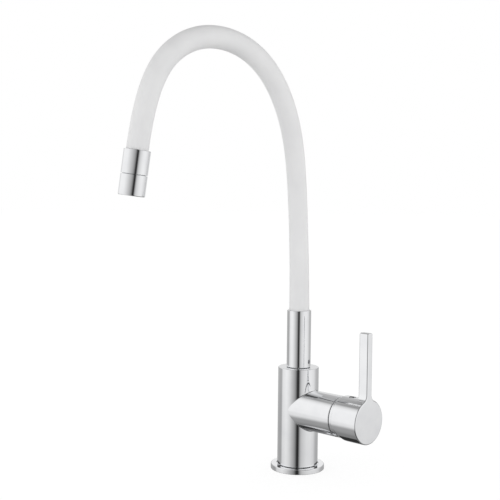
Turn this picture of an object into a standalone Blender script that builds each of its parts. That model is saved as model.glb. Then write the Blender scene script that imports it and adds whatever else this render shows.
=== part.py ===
"""A monobloc kitchen mixer tap for Blender 4.5.

A chrome column carries a ceramic cartridge and a lever in a barrel at its side. On top a collar swivels,
and holds a white silicone sleeve over a bendable gooseneck and a water hose, with the outlet at its end.
Metres, +Z up. The origin is the middle of the flange, on the deck. The barrel lies along +X. The spout
points to -Y and is swung a little away from the lever, as it was photographed."""

import math

import bmesh
import bpy
import numpy as np
from mathutils import Matrix, Vector

# Gaps and cuts
SEAT_GAP = 0.0003  # between faces that touch on the real tap
BALL_GAP = 0.0004  # round the ball of each bend joint
TILT_ROOM = 0.0005  # left free at the end of a tilting or bending stroke
CUT_OVERRUN = 0.002  # how far a cutter runs past the wall that it opens
SAME_POINT = 0.0000001  # points nearer than this are one point

# Flange and its seal
FLANGE_REACH = 0.00645  # past the column's side
FLANGE_T = 0.0047
FLANGE_EDGE = 0.0006
SEAL_GROOVE_W = 0.0043
SEAL_GROOVE_D = 0.0020

# Column: the upright half of the casting
COLUMN_PROUD = 0.0004  # past the barrel's side
COLUMN_RISE = 0.0212  # over the barrel's top
COLUMN_EDGE = 0.0008
COLUMN_SHOULDER = 0.0030  # the flange sits against it
COLUMN_WALL = 0.0025
SPIGOT_CLEARANCE = 0.0010  # between the deck and the foot of the casting
HOLLOW_TOP = 0.0380
INLET_AHEAD = 0.0060  # the inlet sockets lie towards the barrel
INLET_ASIDE = 0.0065
INLET_SOCKET_R = 0.0042
INLET_SOCKET_D = 0.0120
PASSAGE_R = 0.0025
STUD_BACK = 0.0095
STUD_SOCKET_R = 0.0034
STUD_SOCKET_D = 0.0140
SPOUT_BORE_R = 0.0050
NIPPLE_SOCKET_D = 0.0169

# Barrel: the sideways half of the casting
AXIS_HEIGHT = 0.0604
BARREL_WALL = 0.0035
BARREL_END = 0.0546
COUNTERBORE_D = 0.0081

# Ports in the seat, the seal, the base and the fixed disc
INLET_PORT_R = 0.0020
INLET_PORT_ASIDE = 0.0050
INLET_PORT_UP = 0.0030
MIXED_PORT_R = 0.0026
MIXED_PORT_DOWN = 0.0045

# Cartridge, from the seat outwards
PORT_SEAL_T = 0.0010
BASE_FLANGE_T = 0.0024
BASE_STEP_T = 0.0030
HOUSING_R = 0.0140
HOUSING_WALL = 0.0014
HOUSING_TOP_T = 0.0024
HOUSING_INSET = 0.0006  # behind the barrel's end
FIXED_DISC_T = 0.0035
MOVING_DISC_ROOM = 0.0007  # beside the disc at rest
MOVING_DISC_T = 0.0040
MOVING_DISC_DOWN = 0.0020  # how far below the axis the moving disc rests
MIXING_RECESS_WALL = 0.0032
MIXING_RECESS_D = 0.0018
MIXING_RECESS_DOWN = 0.0012
CARRIER_R = 0.0080
CARRIER_T = 0.0066
ROTOR_FLANGE_T = 0.0030
NECK_WALL = 0.0052
NECK_PROUD = 0.0005
PIVOT_RISE = 0.0047
PIN_R = 0.0015
PIN_SHORT = 0.0006
STEM_HALF = 0.0035
STEM_TAIL = 0.0050
STEM_FRONT = 0.0230
BALL_R = 0.0028
BALL_NECK_R = 0.0022
BALL_ARM = 0.0095
NUT_WALL = 0.0015
NUT_LIP_T = 0.0027
NUT_ROOM = 0.0015  # round the rotor's neck
TRIM_LIP_T = 0.0030
TRIM_INSET = 0.0001  # inside the barrel's side
TRIM_ROOM = 0.0010  # outside the nut's opening
TRIM_GAP = 0.0004
TRIM_EDGE = 0.0004

# Lever handle
HUB_L = 0.0288
HUB_EDGE = 0.0006
HUB_OVERLAP = 0.0014  # how far the hub reaches back over the trim ring
HUB_RUNNING_GAP = 0.0005
SKIRT_T = 0.0010
SKIRT_L = 0.0071
HUB_WALL = 0.0025
HUB_FRONT_T = 0.0047
BOSS_R = 0.0070
RELIEF_TOP = 0.0035
RELIEF_L = 0.0090
BLADE_W = 0.0072
BLADE_D = 0.0104
BLADE_RISE = 0.0834
BLADE_CORNER_R = 0.0012
BLADE_EDGE = 0.0009
BLADE_SETBACK = 0.0001
BLADE_SINK = 0.0003
BLADE_FILLET_R = 0.0070
LEVER_SCREW_FROM_REAR = 0.0091
LEVER_SCREW_R = 0.0022
LEVER_SCREW_L = 0.0044
LEVER_TILT = math.radians(25)

# Spout nipple, collar and slip ring
SLIP_RING_T = 0.0008
SLIP_RING_W = 0.0018
COLLAR_WALL = 0.00145
COLLAR_FOOT_WALL = 0.0023
COLLAR_L = 0.0563  # from the column's top to its own
COLLAR_EDGE = 0.0003
NIPPLE_SHOULDER = 0.0012
O_RING_R = 0.0007
O_RING_EASE = 0.0001
O_RING_GROOVE_D = 0.00135
O_RING_RISES = (0.0170, 0.0290)
COLLAR_SCREW_RISE = 0.0060
COLLAR_SCREW_R = 0.0019
COLLAR_SCREW_INSET = 0.0005
SCREW_GROOVE_D = 0.0012
COLLAR_SCREW_TURN = math.radians(202.8)
GRUB_CHAMFER = 0.0005
GRUB_SOCKET_SHARE = 0.5

# Hose: the sleeve outside, the gooseneck core in it, the water hose inside that
SLEEVE_WALL = 0.0027
CORE_WALL = 0.0022
HOSE_WALL = 0.0015
HOSE_BORE_R = 0.0030
HOSE_ENTRY = 0.0080  # how deep the hose stands in the collar and in the ferrule
LOWER_FITTING_T = 0.0080
UPPER_FITTING_T = 0.0044
SPIGOT_L = 0.0110
SPIGOT_WALL = 0.0005
BARB_D = 0.0004
BARBS = 2
SPOUT_REACH = 0.1774
SPOUT_RISE = 0.2640
SPOUT_SWING = math.radians(-101.8)  # the spout's direction, turned from +X
LOWER_BEND_UP = 0.0600
END_BEND_BACK = 0.0550
BEND_LIMIT = math.radians(25)
BALL_RIM = 0.0007
SOCKET_LIP = 0.00025

# The route's control points, as shares of the reach, of the rise and of the reach again for sideways
ROUTE_SHARES = (
    (0.0, 0.0, 0.0),
    (0.0, 0.1761, 0.0),
    (0.0175, 0.4409, 0.0),
    (0.0519, 0.7129, 0.0),
    (0.2221, 0.9330, 0.0),
    (0.5017, 1.0193, 0.0),
    (0.8050, 0.9780, 0.0),
    (0.9650, 0.8182, 0.0107),
    (1.0, 0.6019, -0.0107),
)
# The sleeve is stretched thinner on the riser and swells past the crown: shares of its nominal radius
SLEEVE_RADIUS_SHARES = (1.005, 0.929, 0.920, 1.103, 0.982, 0.997)

# Outlet
HEAD_WALL = 0.00165
FERRULE_L = 0.0215
TIP_L = 0.0189
HEAD_GROOVE = 0.0006
HEAD_EDGE = 0.0005
HEAD_NECK_INSET = 0.0030
HEAD_NECK_WALL = 0.0018
CHAMBER_WALL = 0.0014
CHAMBER_D = 0.0124
WASHER_T = 0.0015
SCREEN_T = 0.0012
INSERT_RECESS = 0.0010
JET_R = 0.0015
JETS = 6
JET_PITCH = 0.0055

# Fineness of round pieces
FINE_SIDES = 40
ROUND_SIDES = 26
SMALL_SIDES = 16
CUT_SIDES = 12
TINY_SIDES = 6
SLEEVE_SIDES = 16
CORE_SIDES = 10
HOSE_SIDES = 8
ARC_STEPS = 4
SLEEVE_STEP = 0.0180
ROUTE_SAMPLES = 400
SPLINE_DEGREE = 3
SHARP_ANGLE = math.radians(35)

# Sizes that follow from those above, each chain from the inside outwards
HOSE_R = HOSE_BORE_R + HOSE_WALL
CORE_BORE_R = HOSE_R + SEAT_GAP
CORE_R = CORE_BORE_R + CORE_WALL
SLEEVE_BORE_R = CORE_R + SEAT_GAP
SLEEVE_R = SLEEVE_BORE_R + SLEEVE_WALL
SPIGOT_TUBE_R = HOSE_BORE_R - SEAT_GAP
SPIGOT_BORE_R = SPIGOT_TUBE_R - BARB_D - SPIGOT_WALL
ENTRY_R = SLEEVE_R * SLEEVE_RADIUS_SHARES[0] + SEAT_GAP

COLLAR_R = ENTRY_R + COLLAR_WALL
NIPPLE_R = COLLAR_R - COLLAR_FOOT_WALL - SEAT_GAP
NIPPLE_SOCKET_R = NIPPLE_R - NIPPLE_SHOULDER
NIPPLE_BORE_R = SPOUT_BORE_R

HEAD_L = FERRULE_L + TIP_L
HEAD_R = ENTRY_R + HEAD_WALL
HEAD_NECK_R = HEAD_R - HEAD_NECK_INSET
HEAD_NECK_BORE_R = HEAD_NECK_R - HEAD_NECK_WALL
CHAMBER_R = HEAD_R - CHAMBER_WALL
SCREEN_R = HEAD_NECK_BORE_R - SEAT_GAP

NECK_R = STEM_HALF + SEAT_GAP + NECK_WALL
NECK_OPENING_R = NECK_R + SEAT_GAP
HOUSING_BORE_R = HOUSING_R - HOUSING_WALL
INSIDE_R = HOUSING_BORE_R - SEAT_GAP
MOVING_DISC_R = INSIDE_R - MOVING_DISC_DOWN - MOVING_DISC_ROOM
MIXING_RECESS_R = MOVING_DISC_R - MIXING_RECESS_DOWN - MIXING_RECESS_WALL
BORE_R = HOUSING_R + SEAT_GAP
NUT_R = BORE_R + NUT_WALL
NUT_OPENING_R = NECK_R + NUT_ROOM
COUNTERBORE_R = NUT_R + SEAT_GAP

BARREL_R = COUNTERBORE_R + BARREL_WALL
TRIM_R = BARREL_R - TRIM_INSET
TRIM_OPENING_R = NUT_OPENING_R + TRIM_ROOM
HUB_INNER_R = TRIM_R + HUB_RUNNING_GAP
HUB_R = HUB_INNER_R + SKIRT_T
COLUMN_R = BARREL_R + COLUMN_PROUD
SPIGOT_R = COLUMN_R - COLUMN_SHOULDER
HOLLOW_R = SPIGOT_R - COLUMN_WALL
FLANGE_BORE_R = SPIGOT_R + SEAT_GAP
FLANGE_R = COLUMN_R + FLANGE_REACH

# Places along the barrel, measured from the column's axis. The cartridge's stack sets how deep it is bored
BASE_L = BASE_FLANGE_T + BASE_STEP_T
CARTRIDGE_STACK = (PORT_SEAL_T, BASE_L, FIXED_DISC_T, MOVING_DISC_T, CARRIER_T, ROTOR_FLANGE_T, HOUSING_TOP_T)
SEAT = BARREL_END - HOUSING_INSET - sum(SEAT_GAP + length for length in CARTRIDGE_STACK)
PORT_SEAL = SEAT + SEAT_GAP
BASE = PORT_SEAL + PORT_SEAL_T + SEAT_GAP
BASE_STEP = BASE + BASE_FLANGE_T
FIXED_DISC = BASE_STEP + BASE_STEP_T + SEAT_GAP
MOVING_DISC = FIXED_DISC + FIXED_DISC_T + SEAT_GAP
CARRIER = MOVING_DISC + MOVING_DISC_T + SEAT_GAP
ROTOR = CARRIER + CARRIER_T + SEAT_GAP
NECK = ROTOR + ROTOR_FLANGE_T
HOUSING_LEDGE = NECK + SEAT_GAP
HOUSING_FRONT = HOUSING_LEDGE + HOUSING_TOP_T
PIVOT = NECK + PIVOT_RISE
BALL = PIVOT - BALL_ARM
NUT_REAR = BARREL_END - COUNTERBORE_D + SEAT_GAP
NUT_LIP = HOUSING_FRONT + SEAT_GAP
NUT_FRONT = NUT_LIP + NUT_LIP_T
TRIM_REAR = BARREL_END + TRIM_GAP
TRIM_LIP = NUT_FRONT + SEAT_GAP
TRIM_FRONT = TRIM_LIP + TRIM_LIP_T
NECK_FRONT = TRIM_FRONT + NECK_PROUD
HUB_REAR = TRIM_FRONT - HUB_OVERLAP
HUB_FRONT = HUB_REAR + HUB_L
BOSS_DROP = BOSS_R * math.sin(LEVER_TILT)  # how far the boss's edge comes down as the lever tilts
BOSS_REAR = PIVOT + (NECK_FRONT - PIVOT + TILT_ROOM + BOSS_DROP) / math.cos(LEVER_TILT)
LEVER_SCREW = HUB_REAR + LEVER_SCREW_FROM_REAR

# Heights on the column and the collar
COLUMN_FOOT = FLANGE_T + SEAT_GAP
COLUMN_TOP = AXIS_HEIGHT + BARREL_R + COLUMN_RISE
COLLAR_TOP = COLUMN_TOP + COLLAR_L
SLIP_RING = COLUMN_TOP + SEAT_GAP
COLLAR_FOOT = SLIP_RING + SLIP_RING_T + SEAT_GAP
HOSE_FOOT = COLLAR_TOP - HOSE_ENTRY
LOWER_FITTING = HOSE_FOOT - SEAT_GAP - LOWER_FITTING_T
COLLAR_STEP = LOWER_FITTING - SEAT_GAP
NIPPLE_SOCKET = COLUMN_TOP - NIPPLE_SOCKET_D
COLLAR_SCREW = COLUMN_TOP + COLLAR_SCREW_RISE

# Height in the outlet, from the ferrule's rim
WASHER_FOOT = -HEAD_L + CHAMBER_D - SEAT_GAP - WASHER_T

# Turns that lay a piece's own Z along another axis
Z_TO_X = Matrix(((0, 0, 1), (1, 0, 0), (0, 1, 0))).to_4x4()
Z_TO_Y = Matrix(((0, 1, 0), (0, 0, 1), (1, 0, 0))).to_4x4()
UPRIGHT = Matrix.Identity(4)


class Axis:
    """An empty that carries pieces. Its place is given in the frame of its group, and so are their points."""

    def __init__(self, name, place=(0, 0, 0), carrier=None, turn=UPRIGHT, origin=(0, 0, 0)):
        self.empty = bpy.data.objects.new(name, None)
        self.empty.empty_display_size = COLUMN_R
        self.place = Vector(place)
        bpy.context.scene.collection.objects.link(self.empty)
        if carrier is None:
            self.empty.matrix_world = Matrix.Translation(origin) @ turn
        else:
            self.empty.parent = carrier.empty
            self.empty.matrix_local = Matrix.Translation(self.place - carrier.place) @ turn

    def carry(self, piece):
        piece.parent = self.empty
        piece.location = -self.place


def clear_scene():
    for old in list(bpy.data.objects):
        bpy.data.objects.remove(old, do_unlink=True)


def finish(name, red, green, blue, metallic, roughness):
    material = bpy.data.materials.new(name)
    material.use_nodes = True
    shader = material.node_tree.nodes["Principled BSDF"]
    shader.inputs["Base Color"].default_value = (red, green, blue, 1.0)
    shader.inputs["Metallic"].default_value = metallic
    shader.inputs["Roughness"].default_value = roughness
    return material


def piece(name, body, material, axis):
    """The named object of a bmesh, in one material, carried by an axis."""
    bmesh.ops.recalc_face_normals(body, faces=body.faces)
    if body.calc_volume(signed=True) < 0:
        bmesh.ops.reverse_faces(body, faces=body.faces)
    mesh = bpy.data.meshes.new(name)
    body.to_mesh(mesh)
    body.free()
    mesh.shade_smooth()
    mesh.set_sharp_from_angle(angle=SHARP_ANGLE)
    mesh.materials.append(material)
    made = bpy.data.objects.new(name, mesh)
    bpy.context.scene.collection.objects.link(made)
    axis.carry(made)
    return made


def turned(profile, sides, place=UPRIGHT):
    """A body turned about its own Z from (radius, height) points. Off the axis, it closes as a ring."""
    body = bmesh.new()
    points = [body.verts.new((radius, 0.0, height)) for radius, height in profile]
    edges = [body.edges.new(pair) for pair in zip(points, points[1:])]
    if profile[0][0] > 0:
        edges.append(body.edges.new((points[-1], points[0])))
    centre = (0.0, 0.0, 0.0)
    upward = (0.0, 0.0, 1.0)
    bmesh.ops.spin(
        body, geom=points + edges, cent=centre, axis=upward, angle=math.tau, steps=sides, use_merge=True
    )
    bmesh.ops.remove_doubles(body, verts=body.verts, dist=SAME_POINT)
    body.transform(place)
    return body


def rods(radius, low, high, places, sides=CUT_SIDES):
    """Round bars from low to high on their own Z, one at each place."""
    body = bmesh.new()
    middle = Matrix.Translation((0.0, 0.0, (low + high) / 2))
    size = {"radius1": radius, "radius2": radius, "depth": high - low}
    for place in places:
        bmesh.ops.create_cone(body, cap_ends=True, segments=sides, matrix=place @ middle, **size)
    return body


def block(low, high):
    """A box between two opposite corners."""
    body = bmesh.new()
    size = Vector(high) - Vector(low)
    middle = (Vector(high) + Vector(low)) / 2
    place = Matrix.Translation(middle) @ Matrix.Diagonal(size).to_4x4()
    bmesh.ops.create_cube(body, size=1.0, matrix=place)
    return body


def extruded(outline, low, high, along):
    """An outline pushed from low to high along one axis. Its points give the other two axes in order."""
    body = bmesh.new()
    corners = [body.verts.new([*point[:along], low, *point[along:]]) for point in outline]
    face = body.faces.new(corners)
    pushed = bmesh.ops.extrude_face_region(body, geom=[face])["geom"]
    shift = [0.0, 0.0, 0.0]
    shift[along] = high - low
    bmesh.ops.translate(body, verts=[v for v in pushed if isinstance(v, bmesh.types.BMVert)], vec=shift)
    return body


def apply_tool(target, name, body, axis, operation="DIFFERENCE"):
    """Cuts a body from the target, or joins it on. The body stays in the scene as a wire."""
    tool = piece(name, body, target.data.materials[0], axis)
    tool.hide_render = True
    tool.display_type = "WIRE"
    modifier = target.modifiers.new(name, "BOOLEAN")
    modifier.operation = operation
    modifier.object = tool
    return tool


def arc(centre_r, centre_h, radius, start, stop):
    """Points of a quarter round or any other arc, from one angle to another, both ends included."""
    angles = np.linspace(start, stop, ARC_STEPS)
    return [(centre_r + radius * math.cos(a), centre_h + radius * math.sin(a)) for a in angles]


def at(x, y):
    return Matrix.Translation((x, y, 0.0))


# Flange and seals

def make_base_flange(chrome, axis):
    groove_r = (FLANGE_BORE_R + FLANGE_R) / 2
    inner = groove_r - SEAL_GROOVE_W / 2
    outer = groove_r + SEAL_GROOVE_W / 2
    profile = [
        (FLANGE_BORE_R, FLANGE_T),
        *reversed(arc(FLANGE_R - FLANGE_EDGE, FLANGE_T - FLANGE_EDGE, FLANGE_EDGE, 0.0, math.pi / 2)),
        (FLANGE_R, FLANGE_EDGE / 2),
        (FLANGE_R - FLANGE_EDGE / 2, 0.0),
        (outer, 0.0),
        (outer, SEAL_GROOVE_D),
        (inner, SEAL_GROOVE_D),
        (inner, 0.0),
        (FLANGE_BORE_R, 0.0),
    ]
    piece("base_flange", turned(profile, FINE_SIDES), chrome, axis)


def make_base_seal(rubber, axis):
    seal_r = (FLANGE_BORE_R + FLANGE_R) / 2
    half = SEAL_GROOVE_W / 2 - SEAT_GAP
    top = SEAL_GROOVE_D - SEAT_GAP
    profile = [(seal_r - half, top), (seal_r + half, top), (seal_r + half, 0.0), (seal_r - half, 0.0)]
    piece("base_seal", turned(profile, FINE_SIDES), rubber, axis)


# Body casting

def column_profile():
    spout_bore_foot = AXIS_HEIGHT - MIXED_PORT_DOWN - MIXED_PORT_R
    return [
        (0.0, spout_bore_foot),
        (SPOUT_BORE_R, spout_bore_foot),
        (SPOUT_BORE_R, NIPPLE_SOCKET),
        (NIPPLE_SOCKET_R, NIPPLE_SOCKET),
        (NIPPLE_SOCKET_R, COLUMN_TOP),
        *reversed(arc(COLUMN_R - COLUMN_EDGE, COLUMN_TOP - COLUMN_EDGE, COLUMN_EDGE, 0.0, math.pi / 2)),
        (COLUMN_R, COLUMN_FOOT),
        (SPIGOT_R, COLUMN_FOOT),
        (SPIGOT_R, SPIGOT_CLEARANCE),
        (HOLLOW_R, SPIGOT_CLEARANCE),
        (HOLLOW_R, HOLLOW_TOP),
        (0.0, HOLLOW_TOP),
    ]


def make_body_casting(chrome, column, barrel):
    casting = piece("body_casting", turned(column_profile(), FINE_SIDES), chrome, column)
    arm = rods(BARREL_R, 0.0, BARREL_END, [UPRIGHT], FINE_SIDES)
    apply_tool(casting, "barrel_join", arm, barrel, "UNION")

    counterbore = BARREL_END - COUNTERBORE_D
    open_end = BARREL_END + CUT_OVERRUN
    bore_profile = [
        (0.0, open_end),
        (COUNTERBORE_R, open_end),
        (COUNTERBORE_R, counterbore),
        (BORE_R, counterbore),
        (BORE_R, SEAT),
        (0.0, SEAT),
    ]
    apply_tool(casting, "barrel_bore_cut", turned(bore_profile, ROUND_SIDES), barrel)

    seat_side = SEAT + CUT_OVERRUN
    inlets = [at(side * INLET_PORT_ASIDE, INLET_PORT_UP) for side in (-1, 1)]
    apply_tool(casting, "inlet_port_cut", rods(INLET_PORT_R, INLET_AHEAD, seat_side, inlets), barrel)
    mixed = [at(0.0, -MIXED_PORT_DOWN)]
    apply_tool(casting, "mixed_port_cut", rods(MIXED_PORT_R, 0.0, seat_side, mixed), barrel)

    sockets = [at(INLET_AHEAD, side * INLET_ASIDE) for side in (-1, 1)]
    socket_foot = HOLLOW_TOP - CUT_OVERRUN
    socket_top = HOLLOW_TOP + INLET_SOCKET_D
    passage_top = AXIS_HEIGHT + INLET_PORT_UP + INLET_PORT_R / 2
    apply_tool(casting, "inlet_socket_cut", rods(INLET_SOCKET_R, socket_foot, socket_top, sockets), column)
    apply_tool(casting, "inlet_passage_cut", rods(PASSAGE_R, HOLLOW_TOP, passage_top, sockets), column)
    stud = rods(STUD_SOCKET_R, socket_foot, HOLLOW_TOP + STUD_SOCKET_D, [at(-STUD_BACK, 0.0)])
    apply_tool(casting, "stud_socket_cut", stud, column)


# Cartridge

def cut_ports(target, name, low, high, barrel):
    """The two inlets and the mixed outlet, through a flat piece of the cartridge."""
    inlets = [at(side * INLET_PORT_ASIDE, INLET_PORT_UP) for side in (-1, 1)]
    low_side = low - CUT_OVERRUN
    high_side = high + CUT_OVERRUN
    apply_tool(target, name + "_inlet_cut", rods(INLET_PORT_R, low_side, high_side, inlets), barrel)
    mixed = rods(MIXED_PORT_R, low_side, high_side, [at(0.0, -MIXED_PORT_DOWN)])
    apply_tool(target, name + "_mixed_cut", mixed, barrel)


def disc_profile(radius, low, high):
    return [(0.0, high), (radius, high), (radius, low), (0.0, low)]


def make_cartridge_port_seal(rubber, barrel):
    high = PORT_SEAL + PORT_SEAL_T
    body = turned(disc_profile(INSIDE_R, PORT_SEAL, high), SMALL_SIDES)
    seal = piece("cartridge_port_seal", body, rubber, barrel)
    cut_ports(seal, "port_seal", PORT_SEAL, high, barrel)


def make_cartridge_base(plastic, barrel):
    high = BASE_STEP + BASE_STEP_T
    profile = [
        (0.0, high),
        (INSIDE_R, high),
        (INSIDE_R, BASE_STEP),
        (HOUSING_R, BASE_STEP),
        (HOUSING_R, BASE),
        (0.0, BASE),
    ]
    base = piece("cartridge_base", turned(profile, ROUND_SIDES), plastic, barrel)
    cut_ports(base, "base", BASE, high, barrel)


def make_cartridge_housing(plastic, barrel):
    rear = BASE_STEP + SEAT_GAP
    profile = [
        (NECK_OPENING_R, HOUSING_FRONT),
        (HOUSING_R, HOUSING_FRONT),
        (HOUSING_R, rear),
        (HOUSING_BORE_R, rear),
        (HOUSING_BORE_R, HOUSING_LEDGE),
        (NECK_OPENING_R, HOUSING_LEDGE),
    ]
    piece("cartridge_housing", turned(profile, ROUND_SIDES), plastic, barrel)


def make_ceramic_disc_fixed(ceramic, barrel):
    high = FIXED_DISC + FIXED_DISC_T
    body = turned(disc_profile(INSIDE_R, FIXED_DISC, high), SMALL_SIDES)
    disc = piece("ceramic_disc_fixed", body, ceramic, barrel)
    cut_ports(disc, "fixed_disc", FIXED_DISC, high, barrel)


def make_ceramic_disc_moving(ceramic, slide):
    """The moving disc covers both inlets at rest. Its recess joins them to the outlet once it slides up."""
    high = MOVING_DISC + MOVING_DISC_T
    centre = at(0.0, -MOVING_DISC_DOWN)
    body = turned(disc_profile(MOVING_DISC_R, MOVING_DISC, high), SMALL_SIDES, centre)
    disc = piece("ceramic_disc_moving", body, ceramic, slide)
    low = MOVING_DISC - CUT_OVERRUN
    recess_centre = at(0.0, -MOVING_DISC_DOWN - MIXING_RECESS_DOWN)
    recess = rods(MIXING_RECESS_R, low, MOVING_DISC + MIXING_RECESS_D, [recess_centre])
    apply_tool(disc, "mixing_recess_cut", recess, slide)


def make_disc_carrier(plastic, slide):
    """It sits on the moving disc, and the stem's ball stands in its pocket."""
    high = CARRIER + CARRIER_T
    centre = at(0.0, -MOVING_DISC_DOWN)
    body = turned(disc_profile(CARRIER_R, CARRIER, high), SMALL_SIDES, centre)
    carrier = piece("disc_carrier", body, plastic, slide)
    pocket_floor = BALL - BALL_R - SEAT_GAP
    pocket = rods(BALL_R + SEAT_GAP, pocket_floor, high + CUT_OVERRUN, [UPRIGHT])
    apply_tool(carrier, "ball_pocket_cut", pocket, slide)


def make_cartridge_rotor(plastic, rotor_axis):
    """The rotor turns with the lever. Its slot gives the stem room to tilt, and no room to turn."""
    profile = [
        (0.0, NECK_FRONT),
        (NECK_R, NECK_FRONT),
        (NECK_R, NECK),
        (INSIDE_R, NECK),
        (INSIDE_R, ROTOR),
        (0.0, ROTOR),
    ]
    rotor = piece("cartridge_rotor", turned(profile, ROUND_SIDES), plastic, rotor_axis)
    slope = math.tan(LEVER_TILT)
    tilted_half = STEM_HALF / math.cos(LEVER_TILT)
    side = STEM_HALF + SEAT_GAP
    overlap = (tilted_half - STEM_HALF) / slope
    below = (NECK_FRONT - PIVOT) * slope + tilted_half + TILT_ROOM
    ball_top = BALL_ARM * math.sin(LEVER_TILT) + BALL_R
    above = max(STEM_TAIL * slope + tilted_half, ball_top) + TILT_ROOM
    front_slot = block((-side, -below, PIVOT - overlap), (side, side, NECK_FRONT + CUT_OVERRUN))
    rear_slot = block((-side, -side, ROTOR - CUT_OVERRUN), (side, above, PIVOT + overlap))
    apply_tool(rotor, "front_slot_cut", front_slot, rotor_axis)
    apply_tool(rotor, "rear_slot_cut", rear_slot, rotor_axis)
    pin_hole = rods(PIN_R + SEAT_GAP, -NECK_R - CUT_OVERRUN, NECK_R + CUT_OVERRUN, [across_at_pivot()])
    apply_tool(rotor, "rotor_pin_cut", pin_hole, rotor_axis)


def across_at_pivot():
    return Matrix.Translation((0.0, 0.0, PIVOT)) @ Z_TO_X


def make_stem_pin(steel, rotor_axis):
    half = NECK_R - PIN_SHORT
    piece("stem_pin", rods(PIN_R, -half, half, [across_at_pivot()]), steel, rotor_axis)


def make_retaining_nut(brass, barrel):
    profile = [
        (NUT_OPENING_R, NUT_FRONT),
        (NUT_R, NUT_FRONT),
        (NUT_R, NUT_REAR),
        (BORE_R, NUT_REAR),
        (BORE_R, NUT_LIP),
        (NUT_OPENING_R, NUT_LIP),
    ]
    piece("retaining_nut", turned(profile, ROUND_SIDES), brass, barrel)


def make_trim_ring(chrome, barrel):
    profile = [
        (TRIM_OPENING_R, TRIM_FRONT),
        (TRIM_R - TRIM_EDGE, TRIM_FRONT),
        (TRIM_R, TRIM_FRONT - TRIM_EDGE),
        (TRIM_R, TRIM_REAR + TRIM_EDGE),
        (TRIM_R - TRIM_EDGE, TRIM_REAR),
        (COUNTERBORE_R, TRIM_REAR),
        (COUNTERBORE_R, TRIM_LIP),
        (TRIM_OPENING_R, TRIM_LIP),
    ]
    piece("trim_ring", turned(profile, FINE_SIDES), chrome, barrel)


# Lever

def hub_profile():
    inner_r = HUB_R - HUB_WALL
    front_wall = HUB_FRONT - HUB_FRONT_T
    skirt_end = HUB_REAR + SKIRT_L
    return [
        (0.0, HUB_FRONT),
        (HUB_R - HUB_EDGE, HUB_FRONT),
        (HUB_R - HUB_EDGE / 3, HUB_FRONT - HUB_EDGE / 3),
        (HUB_R, HUB_FRONT - HUB_EDGE),
        (HUB_R, HUB_REAR),
        (HUB_INNER_R, HUB_REAR),
        (HUB_INNER_R, skirt_end),
        (inner_r, skirt_end + HUB_INNER_R - inner_r),
        (inner_r, front_wall),
        (BOSS_R, front_wall),
        (BOSS_R, BOSS_REAR),
        (0.0, BOSS_REAR),
    ]


def blade_outline():
    """The blade from the front, with a hollow fillet on each side where it grows out of the hub."""
    half = BLADE_W / 2
    fillet_x = half + BLADE_FILLET_R
    hub_to_fillet = HUB_R - BLADE_SINK + BLADE_FILLET_R
    fillet_y = math.sqrt(hub_to_fillet**2 - fillet_x**2)
    meets_hub = math.atan2(fillet_y, fillet_x)
    corner_x = half - BLADE_CORNER_R
    corner_y = BLADE_RISE - BLADE_CORNER_R
    right = arc(fillet_x, fillet_y, BLADE_FILLET_R, math.pi + meets_hub, math.pi)
    right += arc(corner_x, corner_y, BLADE_CORNER_R, 0.0, math.pi / 2)
    return right + [(-x, y) for x, y in reversed(right)]


def make_lever_handle(chrome, lever):
    handle = piece("lever_handle", turned(hub_profile(), FINE_SIDES), chrome, lever)
    front = HUB_FRONT - BLADE_SETBACK
    slab = extruded(blade_outline(), front - BLADE_D, front, 2)
    blade = apply_tool(handle, "blade_join", slab, lever, "UNION")
    blade.modifiers.new("rounded edges", "BEVEL").width = BLADE_EDGE
    blade.modifiers["rounded edges"].segments = 2

    # The plane is hollowed out under the hub, so that it clears the barrel when the lever tilts
    slope = RELIEF_L / (HUB_R - RELIEF_TOP)
    rear = HUB_REAR - CUT_OVERRUN
    foot = -HUB_R - CUT_OVERRUN
    plane_top = -RELIEF_TOP + CUT_OVERRUN / slope
    plane_foot = HUB_REAR + (-RELIEF_TOP - foot) * slope
    half_width = HUB_R + CUT_OVERRUN
    relief = extruded([(plane_top, rear), (foot, rear), (foot, plane_foot)], -half_width, half_width, 0)
    apply_tool(handle, "relief_cut", relief, lever)

    side = STEM_HALF + SEAT_GAP
    socket_end = PIVOT + STEM_FRONT + SEAT_GAP
    socket = block((-side, -side, BOSS_REAR - CUT_OVERRUN), (side, side, socket_end))
    apply_tool(handle, "stem_socket_cut", socket, lever)
    hole = rods(LEVER_SCREW_R + SEAT_GAP, STEM_HALF, HUB_R + CUT_OVERRUN, [lever_screw_place()])
    apply_tool(handle, "lever_screw_cut", hole, lever)


def lever_screw_place():
    return Matrix.Translation((0.0, 0.0, LEVER_SCREW)) @ Z_TO_Y


def grub_screw(name, radius, tip, length, place, steel, axis):
    """A headless screw with a flat tip and a round socket."""
    head = tip + length
    socket_r = radius * GRUB_SOCKET_SHARE
    socket_floor = head - length * GRUB_SOCKET_SHARE
    profile = [
        (0.0, socket_floor),
        (socket_r, socket_floor),
        (socket_r, head),
        (radius, head),
        (radius, tip + GRUB_CHAMFER),
        (radius - GRUB_CHAMFER, tip),
        (0.0, tip),
    ]
    piece(name, turned(profile, CUT_SIDES, place), steel, axis)


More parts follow.
